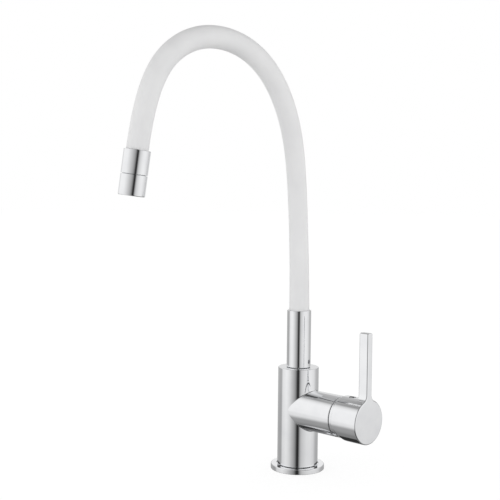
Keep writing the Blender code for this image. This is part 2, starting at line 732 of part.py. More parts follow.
def make_lever_stem(steel, lever):
    """A square bar on a cross pin, with a ball on its tail that pushes the disc."""
    tail = PIVOT - STEM_TAIL
    bar = block((-STEM_HALF, -STEM_HALF, tail), (STEM_HALF, STEM_HALF, PIVOT + STEM_FRONT))
    stem = piece("lever_stem", bar, steel, lever)
    neck_angle = math.acos(BALL_NECK_R / BALL_R)
    ball = arc(0.0, BALL, BALL_R, neck_angle, -math.pi / 2)[:-1]
    root = tail + CUT_OVERRUN
    neck = [(0.0, root), (BALL_NECK_R, root), *ball, (0.0, BALL - BALL_R)]
    apply_tool(stem, "ball_join", turned(neck, CUT_SIDES), lever, "UNION")
    half = STEM_HALF + CUT_OVERRUN
    apply_tool(stem, "stem_pin_cut", rods(PIN_R + SEAT_GAP, -half, half, [across_at_pivot()]), lever)


# Spout foot

def make_slip_ring(plastic, swivel):
    outer = COLLAR_R - SEAT_GAP
    inner = outer - SLIP_RING_W
    top = SLIP_RING + SLIP_RING_T
    profile = [(inner, top), (outer, top), (outer, SLIP_RING), (inner, SLIP_RING)]
    piece("slip_ring", turned(profile, ROUND_SIDES), plastic, swivel)


def groove(radius, depth, centre, half):
    """Four points of a groove that runs down the outer side of a profile."""
    floor = radius - depth
    return [(radius, centre + half), (floor, centre + half), (floor, centre - half), (radius, centre - half)]


def make_spout_nipple(brass, column):
    foot_r = NIPPLE_SOCKET_R - SEAT_GAP
    foot = NIPPLE_SOCKET + SEAT_GAP
    shoulder = COLUMN_TOP + SEAT_GAP
    o_ring_half = O_RING_R + SEAT_GAP
    profile = [(NIPPLE_BORE_R, COLLAR_STEP), (NIPPLE_R, COLLAR_STEP)]
    for rise in reversed(O_RING_RISES):
        profile += groove(NIPPLE_R, O_RING_GROOVE_D, COLUMN_TOP + rise, o_ring_half)
    profile += groove(NIPPLE_R, SCREW_GROOVE_D, COLLAR_SCREW, COLLAR_SCREW_R + SEAT_GAP)
    profile += [(NIPPLE_R, shoulder), (foot_r, shoulder), (foot_r, foot), (NIPPLE_BORE_R, foot)]
    piece("spout_nipple", turned(profile, SMALL_SIDES), brass, column)


def make_spout_o_rings(rubber, column):
    centre_r = NIPPLE_R - O_RING_GROOVE_D + O_RING_EASE + O_RING_R
    for name, rise in zip(("spout_o_ring_lower", "spout_o_ring_upper"), O_RING_RISES):
        angles = np.linspace(0.0, math.tau, TINY_SIDES, endpoint=False)
        height = COLUMN_TOP + rise
        profile = [(centre_r + O_RING_R * math.cos(a), height + O_RING_R * math.sin(a)) for a in angles]
        piece(name, turned(profile, SMALL_SIDES), rubber, column)


def make_spout_collar(chrome, swivel):
    nipple_bore_r = NIPPLE_R + SEAT_GAP
    profile = [
        (ENTRY_R, COLLAR_TOP),
        (COLLAR_R - COLLAR_EDGE, COLLAR_TOP),
        (COLLAR_R, COLLAR_TOP - COLLAR_EDGE),
        (COLLAR_R, COLLAR_FOOT + COLLAR_EDGE),
        (COLLAR_R - COLLAR_EDGE, COLLAR_FOOT),
        (nipple_bore_r, COLLAR_FOOT),
        (nipple_bore_r, COLLAR_STEP),
        (ENTRY_R, COLLAR_STEP),
    ]
    collar = piece("spout_collar", turned(profile, ROUND_SIDES), chrome, swivel)
    hole_r = COLLAR_SCREW_R + SEAT_GAP
    hole = rods(hole_r, NIPPLE_R - CUT_OVERRUN, COLLAR_R + CUT_OVERRUN, [collar_screw_place()])
    apply_tool(collar, "collar_screw_cut", hole, swivel)


def collar_screw_place():
    turn = Matrix.Rotation(COLLAR_SCREW_TURN, 4, "Z")
    return turn @ Matrix.Translation((0.0, 0.0, COLLAR_SCREW)) @ Z_TO_X


def make_collar_grub_screw(steel, swivel):
    tip = NIPPLE_R - SCREW_GROOVE_D + SEAT_GAP
    length = COLLAR_R - COLLAR_SCREW_INSET - tip
    grub_screw("collar_grub_screw", COLLAR_SCREW_R, tip, length, collar_screw_place(), steel, swivel)


def fitting_profile(seat, thickness, bore_r):
    """A disc with a barbed spigot that stands in the end of the water hose. The spigot points up its Z."""
    top = seat + thickness
    barb = SPIGOT_L / BARBS
    points = [(SPIGOT_BORE_R, top + SPIGOT_L)]
    for number in range(BARBS, 0, -1):
        high = top + number * barb
        points += [(SPIGOT_TUBE_R - BARB_D, high), (SPIGOT_TUBE_R, high - barb / 2)]
    points += [(SPIGOT_TUBE_R - BARB_D, top), (ENTRY_R - SEAT_GAP, top), (ENTRY_R - SEAT_GAP, seat)]
    return points + [(bore_r, seat), (SPIGOT_BORE_R, seat + thickness / 2)]


def make_lower_end_fitting(brass, swivel):
    profile = fitting_profile(LOWER_FITTING, LOWER_FITTING_T, NIPPLE_BORE_R)
    piece("lower_end_fitting", turned(profile, SMALL_SIDES), brass, swivel)


# Hose

def spline(controls, share):
    """A point on the clamped cubic B-spline of some control values, at a share of its run."""
    controls = np.asarray(controls, float)
    spans = len(controls) - SPLINE_DEGREE
    knots = [0] * SPLINE_DEGREE + list(range(spans + 1)) + [spans] * SPLINE_DEGREE
    place = share * spans
    span = min(int(place), spans - 1)
    values = controls[span : span + SPLINE_DEGREE + 1].copy()
    for level in range(1, SPLINE_DEGREE + 1):
        for index in range(SPLINE_DEGREE, level - 1, -1):
            left = knots[span + index]
            right = knots[span + index + SPLINE_DEGREE + 1 - level]
            weight = (place - left) / (right - left)
            values[index] = (1 - weight) * values[index - 1] + weight * values[index]
    return values[-1]


class Route:
    """The hose's centreline: out along X, up along Z, measured by its run from the collar's end."""

    def __init__(self):
        scale = np.array((SPOUT_REACH, SPOUT_RISE, SPOUT_REACH))
        controls = np.array(ROUTE_SHARES) * scale + (0.0, HOSE_FOOT, 0.0)
        shares = np.linspace(0.0, 1.0, ROUTE_SAMPLES + 1)
        points = np.array([spline(controls, share) for share in shares])
        self.points = points[:, [0, 2, 1]]
        steps = np.linalg.norm(np.diff(self.points, axis=0), axis=1)
        self.runs = np.concatenate([[0.0], np.cumsum(steps)])
        self.length = self.runs[-1]
        self.crown = self.runs[np.argmax(self.points[:, 2])]
        leaving = self.points[-1] - self.points[-2]
        self.end_way = leaving / np.linalg.norm(leaving)

    def point(self, run):
        """A place on the centreline, which goes on straight into the ferrule."""
        on_route = np.array([np.interp(run, self.runs, self.points[:, i]) for i in range(3)])
        return on_route + self.end_way * max(0.0, run - self.length)

    def way(self, run):
        """The direction of the centreline at a run, from the points one step before and after."""
        step = self.length / ROUTE_SAMPLES
        ahead = self.point(run + step) - self.point(max(0.0, run - step))
        return ahead / np.linalg.norm(ahead)

    def sleeve_radius(self, run):
        return SLEEVE_R * float(spline(SLEEVE_RADIUS_SHARES, min(run / self.length, 1.0)))


def ring(centre, way, radius, sides):
    """Points of a circle square to a direction, starting on the side where Y is."""
    across = np.array((0.0, 1.0, 0.0))
    across -= way * (across @ way)
    across /= np.linalg.norm(across)
    outward = np.cross(way, across)
    angles = np.linspace(0.0, math.tau, sides, endpoint=False)
    return centre + radius * (np.outer(np.cos(angles), across) + np.outer(np.sin(angles), outward))


def looped(rings):
    """A body whose skin runs from ring to ring, and from the last back to the first."""
    body = bmesh.new()
    rows = [[body.verts.new(point) for point in points] for points in rings]
    for row, following in zip(rows, rows[1:] + rows[:1]):
        for index in range(len(row)):
            body.faces.new((row[index - 1], row[index], following[index], following[index - 1]))
    return body


class HoseLength:
    """One rigid length of the hose, between two bend joints or an end. It has a ball at its far joint, and a
    socket round the last length's ball at its near one."""

    def __init__(self, route, near, far, near_joint, far_joint):
        self.route = route
        self.near = near
        self.far = far
        self.near_joint = near_joint
        self.far_joint = far_joint
        start = near
        if near_joint:
            bent_ball = self.ball_run(near) + TILT_ROOM + CORE_BORE_R * math.sin(BEND_LIMIT)
            start += bent_ball / math.cos(BEND_LIMIT)
        stop = far - SLEEVE_R if far_joint else far
        steps = max(1, math.ceil((stop - start) / SLEEVE_STEP))
        self.runs = np.linspace(start, stop, steps + 1)

    def ball_run(self, joint):
        """How far a ball runs past its joint, before it gets too thin."""
        return math.sqrt(self.route.sleeve_radius(joint) ** 2 - (SLEEVE_BORE_R + BALL_RIM) ** 2)

    def past(self, joint, distance, radius, sides=SLEEVE_SIDES):
        """A ring straight on from a joint."""
        way = self.route.way(joint)
        return ring(self.route.point(joint) + way * distance, way, radius, sides)

    def along(self, radius, sides):
        return [ring(self.route.point(run), self.route.way(run), radius, sides) for run in self.runs]

    def sleeve(self):
        route = self.route
        radii = [route.sleeve_radius(run) for run in self.runs]
        outer = [
            ring(route.point(run), route.way(run), radius, SLEEVE_SIDES)
            for run, radius in zip(self.runs, radii)
        ]
        inner = self.along(SLEEVE_BORE_R, SLEEVE_SIDES)[::-1]
        if self.far_joint:
            radius = route.sleeve_radius(self.far)
            tip = self.ball_run(self.far)
            waist = math.sqrt(radius**2 - tip**2 / 4)
            ball = [(0.0, radius), (tip / 2, waist), (tip, SLEEVE_BORE_R + BALL_RIM)]
            outer += [self.past(self.far, distance, size) for distance, size in ball]
            inner = [self.past(self.far, distance, SLEEVE_BORE_R) for distance in (tip, 0.0)] + inner
        if self.near_joint:
            radius = route.sleeve_radius(self.near)
            hollow = radius + BALL_GAP
            lip = math.sqrt(hollow**2 - (radius - SOCKET_LIP) ** 2)
            floor = math.sqrt(hollow**2 - SLEEVE_BORE_R**2)
            middle = (lip + floor) / 2
            waist = math.sqrt(hollow**2 - middle**2)
            socket = [(floor, SLEEVE_BORE_R), (middle, waist), (lip, radius - SOCKET_LIP)]
            inner += [self.past(self.near, distance, size) for distance, size in socket]
            outer.insert(0, self.past(self.near, lip, radius))
        return looped(outer + inner)

    def tube(self, radius, bore_r, sides):
        """The core or the water hose, which ends short of the ball joints."""
        outer = self.along(radius, sides)
        inner = self.along(bore_r, sides)
        if self.far_joint:
            stop = self.ball_run(self.far) - TILT_ROOM
            outer += [self.past(self.far, distance, radius, sides) for distance in (0.0, stop)]
            inner += [self.past(self.far, distance, bore_r, sides) for distance in (0.0, stop)]
        return looped(outer + inner[::-1])


def make_hose_length(suffix, length, axis, finishes):
    core = length.tube(CORE_R, CORE_BORE_R, CORE_SIDES)
    hose = length.tube(HOSE_R, HOSE_BORE_R, HOSE_SIDES)
    piece("sleeve_" + suffix, length.sleeve(), finishes["silicone"], axis)
    piece("gooseneck_core_" + suffix, core, finishes["steel"], axis)
    piece("water_hose_" + suffix, hose, finishes["plastic"], axis)


# Outlet, whose own Z points back up the hose from the ferrule's rim

def make_head_ferrule(chrome, head):
    foot = -FERRULE_L + HEAD_GROOVE / 2
    step = -HOSE_ENTRY - SEAT_GAP - UPPER_FITTING_T - SEAT_GAP
    neck_bore_r = HEAD_NECK_R + SEAT_GAP
    profile = [
        (ENTRY_R, 0.0),
        (HEAD_R - HEAD_EDGE, 0.0),
        (HEAD_R, -HEAD_EDGE),
        (HEAD_R, foot),
        (neck_bore_r, foot),
        (neck_bore_r, step),
        (ENTRY_R, step),
    ]
    piece("head_ferrule", turned(profile, ROUND_SIDES), chrome, head)


def make_upper_end_fitting(brass, head):
    seat = HOSE_ENTRY + SEAT_GAP + UPPER_FITTING_T
    profile = fitting_profile(-seat, UPPER_FITTING_T, HEAD_NECK_BORE_R)
    piece("upper_end_fitting", turned(profile, SMALL_SIDES), brass, head)


def make_aerator_housing(chrome, head):
    neck_top = -HOSE_ENTRY - SEAT_GAP - UPPER_FITTING_T - SEAT_GAP
    shoulder = -FERRULE_L - HEAD_GROOVE / 2
    chamber = -HEAD_L + CHAMBER_D
    profile = [
        (HEAD_NECK_BORE_R, neck_top),
        (HEAD_NECK_R, neck_top),
        (HEAD_NECK_R, shoulder),
        (HEAD_R, shoulder),
        (HEAD_R, -HEAD_L + HEAD_EDGE),
        (HEAD_R - HEAD_EDGE, -HEAD_L),
        (CHAMBER_R, -HEAD_L),
        (CHAMBER_R, chamber),
        (HEAD_NECK_BORE_R, chamber),
    ]
    piece("aerator_housing", turned(profile, ROUND_SIDES), chrome, head)


def make_aerator_washer(rubber, head):
    """It lies against the step over the chamber."""
    washer_top = WASHER_FOOT + WASHER_T
    inside_r = CHAMBER_R - SEAT_GAP
    bore_r = SCREEN_R + SEAT_GAP
    profile = [(bore_r, washer_top), (inside_r, washer_top), (inside_r, WASHER_FOOT), (bore_r, WASHER_FOOT)]
    piece("aerator_washer", turned(profile, SMALL_SIDES), rubber, head)


def make_aerator_screen(steel, head):
    screen = disc_profile(SCREEN_R, WASHER_FOOT, WASHER_FOOT + SCREEN_T)
    piece("aerator_screen", turned(screen, SMALL_SIDES), steel, head)


def make_aerator_insert(plastic, head):
    """A disc with jets, which a key screws in from below."""
    top = WASHER_FOOT - SEAT_GAP
    foot = -HEAD_L + INSERT_RECESS
    body = turned(disc_profile(CHAMBER_R - SEAT_GAP, foot, top), SMALL_SIDES)
    insert = piece("aerator_insert", body, plastic, head)
    angles = np.linspace(0.0, math.tau, JETS, endpoint=False)
    jets = [UPRIGHT] + [at(JET_PITCH * math.cos(a), JET_PITCH * math.sin(a)) for a in angles]
    holes = rods(JET_R, foot - CUT_OVERRUN, top + CUT_OVERRUN, jets, TINY_SIDES)
    apply_tool(insert, "jet_cut", holes, head)


# Assembly

def make_tap_body(finishes, column, barrel):
    make_base_flange(finishes["chrome"], column)
    make_base_seal(finishes["rubber"], column)
    make_body_casting(finishes["chrome"], column, barrel)
    make_cartridge_port_seal(finishes["rubber"], barrel)
    make_cartridge_base(finishes["plastic"], barrel)
    make_cartridge_housing(finishes["plastic"], barrel)
    make_ceramic_disc_fixed(finishes["ceramic"], barrel)
    make_retaining_nut(finishes["brass"], barrel)
    make_trim_ring(finishes["chrome"], barrel)
    make_slip_ring(finishes["plastic"], column)
    make_spout_nipple(finishes["brass"], column)
    make_spout_o_rings(finishes["rubber"], column)


def make_lever(finishes, barrel):
    rotor = Axis("rotor_axis", carrier=barrel)
    slide = Axis("disc_slide_axis", carrier=rotor)
    lever = Axis("lever_tilt_axis", (0.0, 0.0, PIVOT), carrier=rotor)
    make_cartridge_rotor(finishes["plastic"], rotor)
    make_stem_pin(finishes["steel"], rotor)
    make_ceramic_disc_moving(finishes["ceramic"], slide)
    make_disc_carrier(finishes["plastic"], slide)
    make_lever_handle(finishes["chrome"], lever)
    make_lever_stem(finishes["steel"], lever)
    tip = STEM_HALF + SEAT_GAP
    place = lever_screw_place()
    grub_screw("lever_grub_screw", LEVER_SCREW_R, tip, LEVER_SCREW_L, place, finishes["steel"], lever)


def make_spout(finishes):
    swivel = Axis("spout_swivel_axis", turn=Matrix.Rotation(SPOUT_SWING, 4, "Z"))
    make_spout_collar(finishes["chrome"], swivel)
    make_collar_grub_screw(finishes["steel"], swivel)
    make_lower_end_fitting(finishes["brass"], swivel)

    route = Route()
    joints = (LOWER_BEND_UP, route.crown, route.length - END_BEND_BACK)
    lower = Axis("lower_bend_axis", route.point(joints[0]), carrier=swivel)
    crown = Axis("crown_bend_axis", route.point(joints[1]), carrier=lower)
    end = Axis("end_bend_axis", route.point(joints[2]), carrier=crown)
    stops = (0.0, *joints, route.length + HOSE_ENTRY)
    lengths = (("lower", swivel), ("riser", lower), ("arch", crown), ("drop", end))
    for number, (suffix, axis) in enumerate(lengths):
        length = HoseLength(route, stops[number], stops[number + 1], number > 0, number < len(joints))
        make_hose_length(suffix, length, axis, finishes)

    rim = route.point(route.length)
    up_hose = Vector(-route.end_way)
    sideways = Vector((0.0, 1.0, 0.0))
    ahead = sideways.cross(up_hose).normalized()
    turn = Matrix((ahead, up_hose.cross(ahead), up_hose)).transposed().to_4x4()
    head = Axis("head_axis", rim, carrier=end, turn=turn)
    head.place = Vector((0.0, 0.0, 0.0))
    make_head_ferrule(finishes["chrome"], head)
    make_upper_end_fitting(finishes["brass"], head)
    make_aerator_housing(finishes["chrome"], head)
    make_aerator_washer(finishes["rubber"], head)
    make_aerator_screen(finishes["steel"], head)
    make_aerator_insert(finishes["plastic"], head)
    print("spout bend joints at", [tuple(round(c, 6) for c in axis.place) for axis in (lower, crown, end)])


def main():
    clear_scene()
    finishes = {
        "chrome": finish("chrome", 0.82, 0.83, 0.85, 1.0, 0.06),
        "silicone": finish("white silicone", 0.86, 0.86, 0.86, 0.0, 0.55),
        "brass": finish("brass", 0.72, 0.55, 0.28, 1.0, 0.30),
        "steel": finish("stainless steel", 0.60, 0.60, 0.62, 1.0, 0.28),
        "rubber": finish("black rubber", 0.03, 0.03, 0.03, 0.0, 0.70),
        "plastic": finish("cartridge plastic", 0.70, 0.72, 0.74, 0.0, 0.40),
        "ceramic": finish("alumina ceramic", 0.90, 0.88, 0.84, 0.0, 0.18),
    }
    column = Axis("column_axis")
    barrel = Axis("barrel_axis", turn=Z_TO_X, origin=(0.0, 0.0, AXIS_HEIGHT))
    make_tap_body(finishes, column, barrel)
    make_lever(finishes, barrel)
    make_spout(finishes)


main()
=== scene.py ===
# %% [markdown]
# # A kitchen mixer tap with a bendable white spout
#
# A chrome column stands on a round foot. A barrel at its side holds the cartridge and the lever. A white
# silicone sleeve rises out of a narrow collar, arches over and ends in a slim chrome outlet.
# Each cell makes one piece or one finish. Lengths are in metres, and +Z is up.

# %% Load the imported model
import math

import bmesh
import bpy
import numpy as np
from mathutils import Matrix, Vector


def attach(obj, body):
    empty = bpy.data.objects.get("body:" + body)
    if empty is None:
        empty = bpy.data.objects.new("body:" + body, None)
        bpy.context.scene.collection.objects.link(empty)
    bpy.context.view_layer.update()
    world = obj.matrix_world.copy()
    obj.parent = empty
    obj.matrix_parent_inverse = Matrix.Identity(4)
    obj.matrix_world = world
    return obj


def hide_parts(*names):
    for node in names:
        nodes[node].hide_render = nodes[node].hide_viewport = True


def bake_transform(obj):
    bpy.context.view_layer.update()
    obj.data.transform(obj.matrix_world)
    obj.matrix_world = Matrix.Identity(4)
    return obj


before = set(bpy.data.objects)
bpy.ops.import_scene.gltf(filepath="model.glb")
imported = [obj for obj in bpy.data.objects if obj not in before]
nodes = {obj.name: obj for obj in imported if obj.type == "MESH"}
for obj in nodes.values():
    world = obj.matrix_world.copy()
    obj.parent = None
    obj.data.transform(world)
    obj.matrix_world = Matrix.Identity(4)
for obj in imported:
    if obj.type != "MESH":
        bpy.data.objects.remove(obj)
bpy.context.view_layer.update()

print("nodes loaded:", len(nodes))


# %% [markdown]
# ## The camera's place
#
# The picture was taken from in front of the lever's side, level with the upper half of the spout and nearly
# a metre away. The camera's place and turn come from a fit of a pinhole camera to the edges of the column,
# the foot, the barrel, the lever and the outlet. The focal length is given in pixels of a 500 pixel frame.

# %% Camera
FRAME_PIXELS = 500
SENSOR_MM = 36.0
FOCAL_PIXELS = 936.5
CAMERA_DISTANCE = 0.920
CAMERA_HEIGHT = 0.26856
BARREL_BEARING = math.radians(48.80)  # from the picture plane round to the barrel
CAMERA_YAW = -0.0534015
CAMERA_DIP = 0.0568784
CAMERA_ROLL = 0.0094720
CAMERA_NEAR = 0.01


def camera_axes():
    """The camera's right, up, forward and place in the tap's frame. Yaw and dip turn the forward arrow, the
    roll turns the other two round it, and the bearing turns the camera's frame into the tap's."""
    forward = np.array((math.sin(CAMERA_YAW) * math.cos(CAMERA_DIP),
                        math.cos(CAMERA_YAW) * math.cos(CAMERA_DIP),
                        -math.sin(CAMERA_DIP)))
    right = np.array((math.cos(CAMERA_YAW), -math.sin(CAMERA_YAW), 0.0))
    up = np.cross(right, forward)
    roll_cos, roll_sin = math.cos(CAMERA_ROLL), math.sin(CAMERA_ROLL)
    rolled_right = right * roll_cos + up * roll_sin
    rolled_up = up * roll_cos - right * roll_sin
    s, c = math.sin(BARREL_BEARING), math.cos(BARREL_BEARING)
    to_tap = np.array(((s, -c, 0.0), (c, s, 0.0), (0.0, 0.0, 1.0)))
    place = np.array((0.0, -CAMERA_DISTANCE, CAMERA_HEIGHT))
    return to_tap @ rolled_right, to_tap @ rolled_up, to_tap @ forward, to_tap @ place


def make_camera():
    right, up, forward, place = camera_axes()
    lens = bpy.data.cameras.new("camera")
    lens.sensor_width = SENSOR_MM
    lens.lens = FOCAL_PIXELS / FRAME_PIXELS * SENSOR_MM
    lens.clip_start = CAMERA_NEAR
    camera = bpy.data.objects.new("camera", lens)
    bpy.context.scene.collection.objects.link(camera)
    turn = np.column_stack((right, up, -forward))
    camera.matrix_world = Matrix.Translation(place) @ Matrix(turn.tolist()).to_4x4()
    bpy.context.scene.camera = camera
    print("camera at", place.round(4), "lens", round(lens.lens, 2), "mm")


make_camera()


# %% [markdown]
# ## Surfaces from grids of points
#
# Every new piece is one or more skins: an array of points, row after row, which is filled with four-sided
# faces. Rows that meet in one point, or lie on each other, are merged afterwards, so poles close. Edges
# sharper than thirty degrees stay crisp, and everything else shades smooth.

# %% Skins
WELD = 0.0000005
CREASE = math.radians(30)


def grid_faces(rows, columns, first, loop):
    """The four corners of each face between neighbouring rows and columns. Columns always close round; rows
    close too where loop is true."""
    row = np.arange(rows if loop else rows - 1)[:, None]
    column = np.arange(columns)[None, :]
    after = (row + 1) % rows
    beside = (column + 1) % columns
    corners = (row * columns + column, row * columns + beside,
               after * columns + beside, after * columns + column)
    return first + np.stack(np.broadcast_arrays(*corners), axis=-1).reshape(-1, 4)


def skin_object(name, skins):
    """One object from several (points, loop) skins, each an array of rows of points."""
    points, faces, first = [], [], 0
    for grid, loop in skins:
        points.append(grid.reshape(-1, 3))
        faces.append(grid_faces(grid.shape[0], grid.shape[1], first, loop))
        first += grid.shape[0] * grid.shape[1]
    mesh = bpy.data.meshes.new(name)
    mesh.from_pydata(np.concatenate(points).tolist(), [], np.concatenate(faces).tolist())
    close(mesh)
    made = bpy.data.objects.new(name, mesh)
    bpy.context.scene.collection.objects.link(made)
    return made


def shade(mesh):
    mesh.shade_smooth()
    mesh.set_sharp_from_angle(angle=CREASE)


def close(mesh):
    """Merges points that lie on each other, and turns each closed skin's faces outwards."""
    body = bmesh.new()
    body.from_mesh(mesh)
    bmesh.ops.remove_doubles(body, verts=body.verts, dist=WELD)
    bmesh.ops.dissolve_degenerate(body, edges=body.edges, dist=WELD)
    bmesh.ops.recalc_face_normals(body, faces=body.faces)
    body.to_mesh(mesh)
    body.free()
    shade(mesh)


# %% [markdown]
# ## The studio
#
# Chrome shows what stands round it, so the studio matters more than its colour. The photograph was taken in
# a white tent with one slot for the lens: every upright tube has a thin dark line at its own middle, soft
# grey on both sides of it, and white beyond. A lamp alone can't do that, and a picture of a room would need
# a file. So the tent is built as a tall ball round the tap whose wall glows by a formula, and only mirror
# reflections see it. Five ramps of greys run round it: for the ground below the table, where the underside of
# the barrel looks, for the table, for the skirting just above it, for the wall and for the roof. The ground's
# dark stretch on the far side from the camera is painted shadow, the table's shadow under the tap, and the
# skirting's two dark stretches are painted shade, which darkens the corner between foot and column. A sixth
# ramp runs from foot to roof, and dims the others.

# %% Helpers for node trees
def node(tree, kind, inputs=()):
    """Adds a node and fills its inputs. A number or colour is set, a socket is linked, and so is the first
    output of a node."""
    made = tree.nodes.new("ShaderNode" + kind)
    for place, value in dict(inputs).items():
        if isinstance(value, bpy.types.Node):
            value = value.outputs[0]
        if isinstance(value, bpy.types.NodeSocket):
            tree.links.new(value, made.inputs[place])
        else:
            made.inputs[place].default_value = value
    return made


def math_node(tree, operation, *values):
    made = node(tree, "Math", enumerate(values))
    made.operation = operation
    return made


def remap(tree, value, old, new=(0.0, 1.0), course="LINEAR"):
    """A value between the two old ones, carried over to between the two new ones."""
    made = node(tree, "MapRange", {"Value": value, "From Min": old[0], "From Max": old[1], "To Min": new[0],
                                   "To Max": new[1]})
    made.interpolation_type = course
    return made


def mix_colours(tree, share, before, after):
    """The colour before, which gives way to the one after as the share rises from 0 to 1."""
    made = node(tree, "Mix", {0: share, 6: before, 7: after})
    made.data_type = "RGBA"
    return made.outputs[2]


def flat_grey(grey):
    return (grey, grey, grey, 1.0)


def grey_ramp(tree, value, stops):
    """A ramp of greys through (place, brightness) stops."""
    made = node(tree, "ValToRGB", {"Fac": value})
    stop = made.color_ramp.elements
    while len(stop) > 1:
        stop.remove(stop[-1])
    stop[0].position = stops[0][0]
    stop[0].color = flat_grey(stops[0][1])
    for place, grey in stops[1:]:
        stop.new(place).color = flat_grey(grey)
    return made


def ramp_by_height(tree, height, stops, scale=1.0):
    """A ramp through (height, brightness) stops, with heights from -1 to 1 and greys divided by a scale."""
    share = math_node(tree, "MULTIPLY_ADD", height, 0.5, 0.5)
    return grey_ramp(tree, share, [(0.5 + place / 2, grey / scale) for place, grey in stops])


# %% Tent
TENT_R = 0.50
TENT_HALF_HEIGHT = 0.90
TENT_MIDDLE = CAMERA_HEIGHT
TENT_SIDES = 128
FRONT = (  # (degrees to the right of the camera, brightness): the lens slot and the greys beside it
    (-47, 0.80), (-35, 0.62), (-23, 0.45), (-15, 0.30), (-9, 0.13), (-5, 0.030), (3, 0.026), (6, 0.16),
    (11, 0.42), (17, 0.60), (23, 0.70), (35, 0.80), (50, 0.90),
)
# the ground ring's dark stretch on the far side from the camera is painted shadow: the table's shadow under
# the tap, for the underside of barrel and hub to mirror
GROUND_WITH_PAINTED_SHADOW = (
    (-180, 0.10), (-143, 0.10), (-136, 0.76), (-106, 0.80), (-92, 1.05), (-80, 1.15), (-70, 0.9), (-60, 0.2),
    (-5, 0.1), (10, 0.5), (60, 0.5), (90, 0.8), (140, 0.8), (160, 0.3), (180, 0.10),
)
TABLE = (
    (-180, 0.50), (-143, 0.50), (-118, 0.44), (-106, 0.48), (-97, 0.86), (-81, 0.92), (-70, 0.97),
    (-60, 0.92), *FRONT, (74, 0.92), (97, 0.82), (106, 0.70), (118, 0.54), (143, 0.50), (180, 0.50),
)
# the skirting ring's two dark stretches are painted shade, which darkens the corner between the foot and the
# column in the chrome
SKIRTING_WITH_PAINTED_SHADE = (
    (-180, 0.92), (-168, 0.88), (-158, 0.08), (-114, 0.08), (-106, 0.86), (-81, 0.98), (-60, 0.94),
    *FRONT, (74, 0.94), (97, 0.86), (106, 0.74), (114, 0.08), (158, 0.08), (168, 0.88), (180, 0.92),
)
WALL = (
    (-180, 0.80), (-160, 0.72), (-143, 0.74), (-123, 0.88), (-113, 0.68), (-104, 0.94), (-81, 0.98),
    (-60, 0.94), *FRONT, (74, 0.94), (97, 0.86), (118, 0.76), (143, 0.58), (160, 0.66), (180, 0.80),
)
ROOF = (
    (-180, 0.50), (-165, 0.50), (-152, 0.80), (-141, 0.60), (-123, 0.92), (-113, 0.68), (-104, 0.90),
    (-97, 0.98), (-81, 0.98), (-60, 0.94), (-35, 0.62), (-15, 0.30), (-5, 0.05), (3, 0.05), (11, 0.42),
    (35, 0.80), (74, 0.94), (97, 0.88), (118, 0.70), (143, 0.55), (180, 0.50),
)
TABLE_FOOT = (-0.62, -0.55)  # heights in the tent, from -1 to 1, over which a ring gives way to the next
TABLE_EDGE = (-0.178, -0.158)
SKIRTING_EDGE = (-0.105, -0.090)
ROOF_EDGE = (0.0, 0.14)
FOOT_TO_ROOF = (  # (height in the tent, share of that brightness)
    (-1.0, 0.26), (-0.60, 0.32), (-0.53, 0.45), (-0.48, 0.68), (-0.43, 0.86), (-0.38, 0.88), (-0.30, 0.98),
    (-0.10, 1.0), (0.20, 1.0), (0.30, 0.94), (0.41, 0.74), (0.47, 0.50), (0.52, 0.42), (0.60, 0.36),
    (1.0, 0.34),
)


def make_tent():
    """A ball drawn out upwards: height in it = sin of the latitude, and round it = cos of the latitude times
    cos and sin of the bearing. Its glow reads the same two, as Z and the angle round Z."""
    latitude = np.linspace(-math.pi / 2, math.pi / 2, TENT_SIDES // 2)[:, None]
    bearing = np.linspace(0.0, math.tau, TENT_SIDES, endpoint=False)
    size = np.array((TENT_R, TENT_R, TENT_HALF_HEIGHT))
    grid = size * np.stack((np.cos(latitude) * np.cos(bearing), np.cos(latitude) * np.sin(bearing),
                            np.sin(latitude) + 0.0 * bearing), axis=-1)
    mesh = bpy.data.meshes.new("tent")
    mesh.from_pydata(grid.reshape(-1, 3).tolist(), [], grid_faces(*grid.shape[:2], 0, False).tolist())
    tent = bpy.data.objects.new("tent", mesh)
    tent.location = (0.0, 0.0, TENT_MIDDLE)
    bpy.context.scene.collection.objects.link(tent)
    tent.visible_camera = tent.visible_diffuse = tent.visible_shadow = tent.visible_transmission = False

    material = bpy.data.materials.new("tent wall")
    material.use_nodes = True
    material.cycles.emission_sampling = "NONE"
    tree = material.node_tree
    tree.nodes.clear()
    place = node(tree, "TexCoord").outputs["Object"]
    turn = (0.0, 0.0, BARREL_BEARING)  # so that the camera's side lies along X
    turned = node(tree, "Mapping", {"Vector": place, "Rotation": turn, "Scale": (1 / size).tolist()})
    height = node(tree, "SeparateXYZ", {"Vector": turned}).outputs["Z"]
    angle = node(tree, "TexGradient", {"Vector": turned})
    angle.gradient_type = "RADIAL"
    rings = [grey_ramp(tree, angle.outputs["Fac"], [(0.5 + degrees / 360, grey) for degrees, grey in ring])
             for ring in (GROUND_WITH_PAINTED_SHADOW, TABLE, SKIRTING_WITH_PAINTED_SHADE, WALL, ROOF)]
    around = rings[0]
    for ring, edge in zip(rings[1:], (TABLE_FOOT, TABLE_EDGE, SKIRTING_EDGE, ROOF_EDGE)):
        around = mix_colours(tree, remap(tree, height, edge, course="SMOOTHSTEP"), around, ring)
    glow = node(tree, "Emission", {"Color": around, "Strength": ramp_by_height(tree, height, FOOT_TO_ROOF)})
    node(tree, "OutputMaterial", {"Surface": glow})
    mesh.materials.append(material)
    print("tent of", len(mesh.polygons), "faces, wall of", len(tree.nodes), "nodes")


make_tent()


# %% [markdown]
# The light itself comes from the world: bright round the horizon and dimmer overhead, as from a tent that is
# lit from its sides. That is what makes the top of the spout's arch a soft grey and its sides nearly white.
# The camera and every mirror ray that leaves the tent see plain white.

